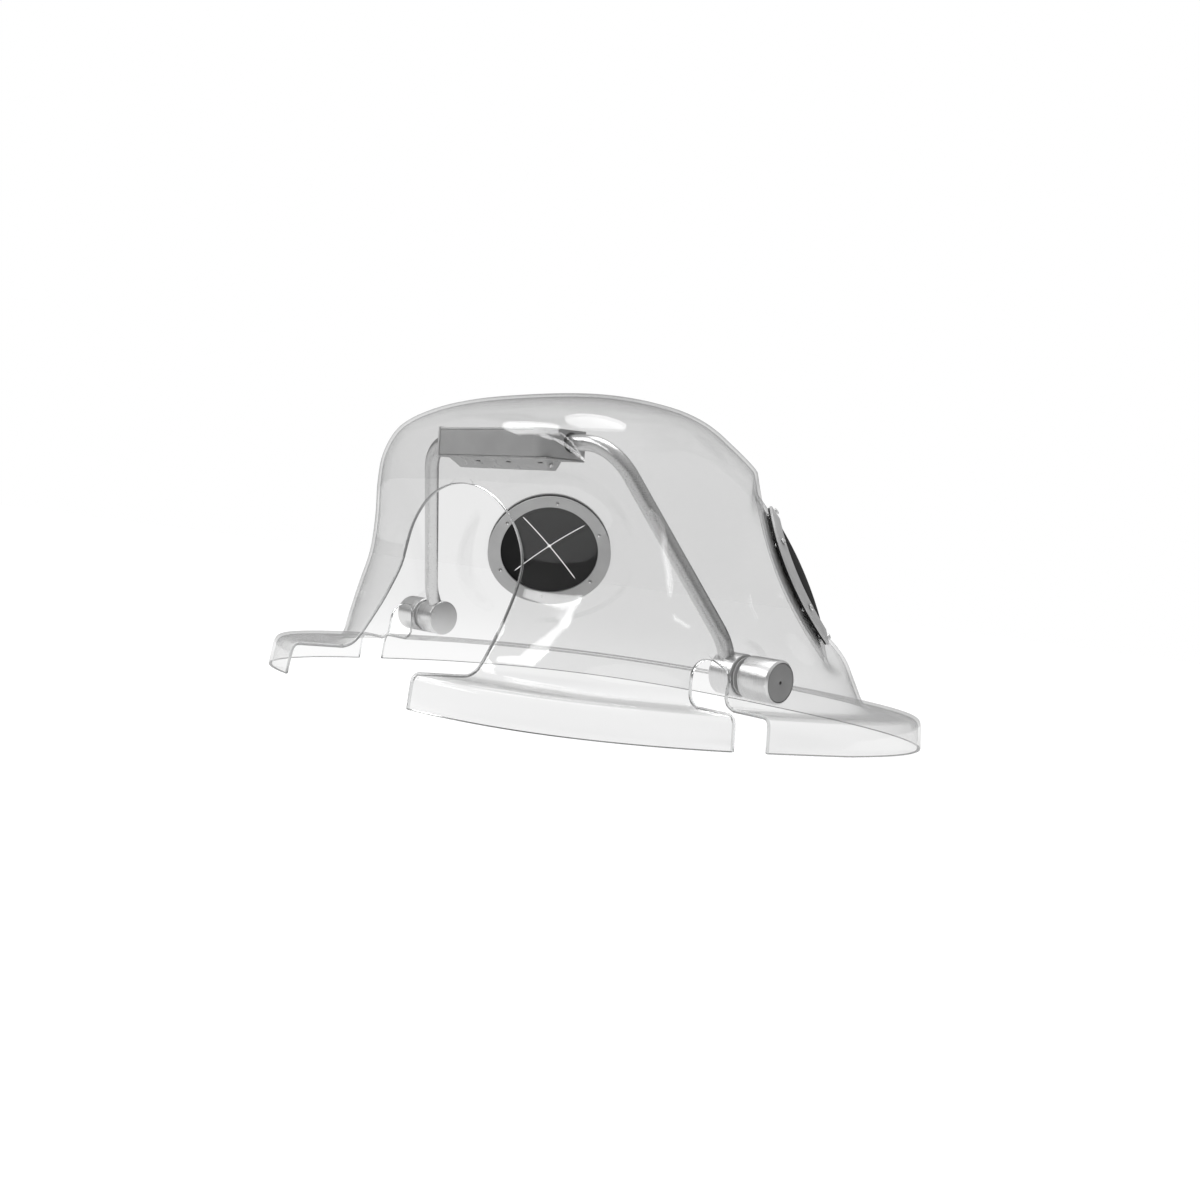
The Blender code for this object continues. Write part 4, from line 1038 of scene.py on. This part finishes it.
def clear_sheet():
    """Polished clear sheet: tinted by how slantwise it is seen, and mirroring by Fresnel."""
    material = bpy.data.materials.new("clear_sheet")
    material.use_nodes = True
    nodes = material.node_tree.nodes
    links = material.node_tree.links
    nodes.remove(nodes["Principled BSDF"])
    weight = nodes.new("ShaderNodeLayerWeight")
    weight.inputs["Blend"].default_value = 0.5
    power = nodes.new("ShaderNodeMath")
    power.operation = 'POWER'
    power.inputs[1].default_value = 5.0
    links.new(weight.outputs["Facing"], power.inputs[0])
    mirror = nodes.new("ShaderNodeMapRange")
    mirror.inputs["To Min"].default_value = MIRROR_FACE_ON
    mirror.inputs["To Max"].default_value = MIRROR_EDGE_ON
    links.new(power.outputs["Value"], mirror.inputs["Value"])
    tint = tone_ramp(material.node_tree, CLEAR_TINTS)
    links.new(weight.outputs["Facing"], tint.inputs["Fac"])
    through = nodes.new("ShaderNodeBsdfTransparent")
    links.new(tint.outputs["Color"], through.inputs["Color"])
    gloss = nodes.new("ShaderNodeBsdfGlossy")
    links.new(spread(material, noise(material, 30.0), 0.015, 0.05), gloss.inputs["Roughness"])
    waves = nodes.new("ShaderNodeBump")
    waves.inputs["Distance"].default_value = SHEET_WAVE_DEPTH
    waves.inputs["Strength"].default_value = 0.4
    links.new(noise(material, 10.0, 1.0), waves.inputs["Height"])
    links.new(waves.outputs["Normal"], gloss.inputs["Normal"])
    mix = nodes.new("ShaderNodeMixShader")
    links.new(mirror.outputs["Result"], mix.inputs["Fac"])
    links.new(through.outputs["BSDF"], mix.inputs[1])
    links.new(gloss.outputs["BSDF"], mix.inputs[2])
    links.new(mix.outputs["Shader"], nodes["Material Output"].inputs["Surface"])
    return material


# Dark tint of the cut edges: painted shade that makes the edges show as thin dark lines.
EDGE_PAINTED_SHADE_TINT = (0.50, 0.51, 0.51)
EDGE_ROUGHNESS = 0.08
EDGE_IOR = 1.49                   # of acrylic
EDGE_SHADOW = 0.80                # share of light let through in shadows


def clear_edge():
    """The sheet's cut and polished edge, which bends light; its dark tint is painted shade that
    draws thin dark lines along the edges.
    """
    material, shader = new_material("clear_edge", EDGE_PAINTED_SHADE_TINT, EDGE_ROUGHNESS)
    shader.inputs["Transmission Weight"].default_value = 1.0
    shader.inputs["IOR"].default_value = EDGE_IOR
    nodes = material.node_tree.nodes
    links = material.node_tree.links
    bump(material, shader, noise(material, 300.0, 2.0), 0.00005)
    path = nodes.new("ShaderNodeLightPath")
    through = nodes.new("ShaderNodeBsdfTransparent")
    through.inputs["Color"].default_value = (EDGE_SHADOW, EDGE_SHADOW, EDGE_SHADOW, 1.0)
    mix = nodes.new("ShaderNodeMixShader")
    links.new(path.outputs["Is Shadow Ray"], mix.inputs["Fac"])
    links.new(shader.outputs["BSDF"], mix.inputs[1])
    links.new(through.outputs["BSDF"], mix.inputs[2])
    links.new(mix.outputs["Shader"], nodes["Material Output"].inputs["Surface"])
    return material


def rubber():
    material, shader = new_material("membrane_rubber", (0.012, 0.012, 0.012), 0.70)
    shader.inputs["Specular IOR Level"].default_value = 0.12
    vary_colour(material, shader, noise(material, 25.0), (0.010,) * 3, (0.014,) * 3)
    bump(material, shader, noise(material, 900.0, 3.0), 0.000002, 0.3)
    return material


MATERIALS = {
    "clear": clear_sheet(),
    "edge": clear_edge(),
    "ring": moulded("ring_grey", 0.42, 0.42),
    "rubber": rubber(),
    "steel": brushed("screw_steel", 0.70, 0.25, (400.0, 400.0, 400.0)),
    "dark_screw": brushed("dark_screw", 0.12, 0.40, (400.0, 400.0, 400.0)),
    "turned_metal": brushed("satin_aluminium", 0.62, 0.30, (2600.0, 12.0, 12.0)),
    "brushed_tube": brushed("satin_tube", 0.57, 0.30, (900.0, 900.0, 900.0)),
    "nylon": moulded("nylon_washer", 0.72, 0.45),
    "dark_metal": moulded("dark_grey_metal", 0.20, 0.38, 1200.0),
    "dark_plastic": moulded("dark_plastic", 0.05, 0.45),
    "housing": moulded("housing_grey", 0.36, 0.42),
    "cover": moulded("cover_light_grey", 0.52, 0.36),
    "window": moulded("window_grey", 0.34, 0.30, 2400.0, 0.000004),
    "board": moulded("board_white", 0.78, 0.55),
    "lamp": moulded("lamp_cream", 0.90, 0.30),
}


# ------------------------------ build the pieces
make_shell()
for port_side, port_name in SIDES:
    make_port(port_side, port_name)
    make_pivot(port_side, port_name)
make_tube()
make_channel()
make_cover()
make_cap()
make_plate()
make_bush("right", CAP_END - TILT_BUSH_LENGTH)
make_bush("left", PLATE_END - PLATE_THICKNESS)
make_window()
make_lamps()


# ------------------------------ stage
FLOOR_TONE = 0.22
FLOOR_GLOW = 0.87
FLOOR_DROP = 0.0005
FLOOR_HALF = 40.0
# Brightness of the room by the upward part of the direction.
ROOM_TONES = ((0.0, 0.28), (0.25, 0.34), (0.55, 0.62), (1.0, 0.95))
CAMERA_PLACE = Vector((1.196, -1.146, 0.163))
CAMERA_RIGHT = Vector((0.680, 0.721, 0.1315))
CAMERA_BACK = Vector((0.726, -0.688, 0.0165)).normalized()
CAMERA_LENS = 36.7
CAMERA_SENSOR = 36.0


def make_floor():
    """Pale floor that stays white round the object's faint shadow."""
    bm = bmesh.new()
    bmesh.ops.create_grid(bm, x_segments=1, y_segments=1, size=FLOOR_HALF)
    floor = add_piece("floor", bm)
    floor.location.z = -FLOOR_DROP
    material, shader = new_material("floor_white", (FLOOR_TONE,) * 3, 1.0)
    shader.inputs["Specular IOR Level"].default_value = 0.0
    shader.inputs["Emission Color"].default_value = (1.0, 1.0, 1.0, 1.0)
    shader.inputs["Emission Strength"].default_value = FLOOR_GLOW
    floor.data.materials.append(material)


def make_world():
    """White to the camera; to everything else a room that is lighter overhead."""
    world = bpy.data.worlds.new("studio")
    world.use_nodes = True
    nodes = world.node_tree.nodes
    links = world.node_tree.links
    place = nodes.new("ShaderNodeTexCoord")
    split = nodes.new("ShaderNodeSeparateXYZ")
    links.new(place.outputs["Generated"], split.inputs["Vector"])
    ramp = tone_ramp(world.node_tree, ROOM_TONES)
    links.new(split.outputs["Z"], ramp.inputs["Fac"])
    room = nodes["Background"]
    links.new(ramp.outputs["Color"], room.inputs["Color"])
    white = nodes.new("ShaderNodeBackground")
    white.inputs["Color"].default_value = (1.0, 1.0, 1.0, 1.0)
    path = nodes.new("ShaderNodeLightPath")
    mix = nodes.new("ShaderNodeMixShader")
    links.new(path.outputs["Is Camera Ray"], mix.inputs["Fac"])
    links.new(room.outputs["Background"], mix.inputs[1])
    links.new(white.outputs["Background"], mix.inputs[2])
    links.new(mix.outputs["Shader"], nodes["World Output"].inputs["Surface"])
    bpy.context.scene.world = world


def add_area(name, target, start, end, distance, height, radiance, shape='RECTANGLE'):
    """Area lamp facing a point; start and end are the directions of its two ends from there."""
    target = Vector(target)
    start = Vector(start).normalized()
    end = Vector(end).normalized()
    towards = (start + end).normalized()
    lengthwise = (end - start) - towards * (end - start).dot(towards)
    length = (end - start).length * distance
    lamp = bpy.data.lights.new(name, 'AREA')
    lamp.shape = shape
    lamp.size = length
    lamp.size_y = height
    area = length * height * (math.pi / 4.0 if shape == 'ELLIPSE' else 1.0)
    lamp.energy = radiance * math.pi * area
    holder = bpy.data.objects.new(name, lamp)
    bpy.context.scene.collection.objects.link(holder)
    x_axis = lengthwise.normalized()
    y_axis = towards.cross(x_axis)
    matrix = Matrix((x_axis, y_axis, towards)).transposed().to_4x4()
    matrix.translation = target + towards * distance
    holder.matrix_world = matrix


def make_camera():
    camera = bpy.data.cameras.new("camera")
    camera.lens = CAMERA_LENS
    camera.sensor_width = CAMERA_SENSOR
    camera.clip_start = 0.01
    holder = bpy.data.objects.new("camera", camera)
    bpy.context.scene.collection.objects.link(holder)
    right = (CAMERA_RIGHT - CAMERA_BACK * CAMERA_RIGHT.dot(CAMERA_BACK)).normalized()
    up = CAMERA_BACK.cross(right)
    matrix = Matrix((right, up, CAMERA_BACK)).transposed().to_4x4()
    matrix.translation = CAMERA_PLACE
    holder.matrix_world = matrix
    bpy.context.scene.camera = holder


make_floor()
make_world()
make_camera()
# Each lamp stands where the sheet mirrors it to the camera as one bright patch.
add_area("top_box", (0.190, -0.229, 0.335), (-0.39, -0.40, 0.83), (-0.17, 0.60, 0.78),
         distance=2.0, height=1.2, radiance=4.5, shape='ELLIPSE')
add_area("left_box", (0.130, -0.260, 0.325), (-0.66, -0.62, 0.40), (-0.68, -0.32, 0.66),
         distance=1.2, height=0.42, radiance=8.0)
add_area("low_strip", (0.180, -0.260, 0.130), (-0.05, -0.92, 0.385), (-0.72, -0.58, 0.385),
         distance=6.0, height=0.36, radiance=8.0)
add_area("rising_strip", (0.180, -0.265, 0.100), (-0.08, -0.92, 0.39), (-0.53, -0.62, 0.58),
         distance=6.0, height=0.28, radiance=7.0)
add_area("right_window", (0.263, -0.166, 0.206), (0.82, 0.47, 0.33), (0.87, 0.33, 0.36),
         distance=2.0, height=0.05, radiance=5.0)
bpy.context.scene.cycles.transparent_max_bounces = 32
bpy.context.scene.view_settings.view_transform = 'Standard'
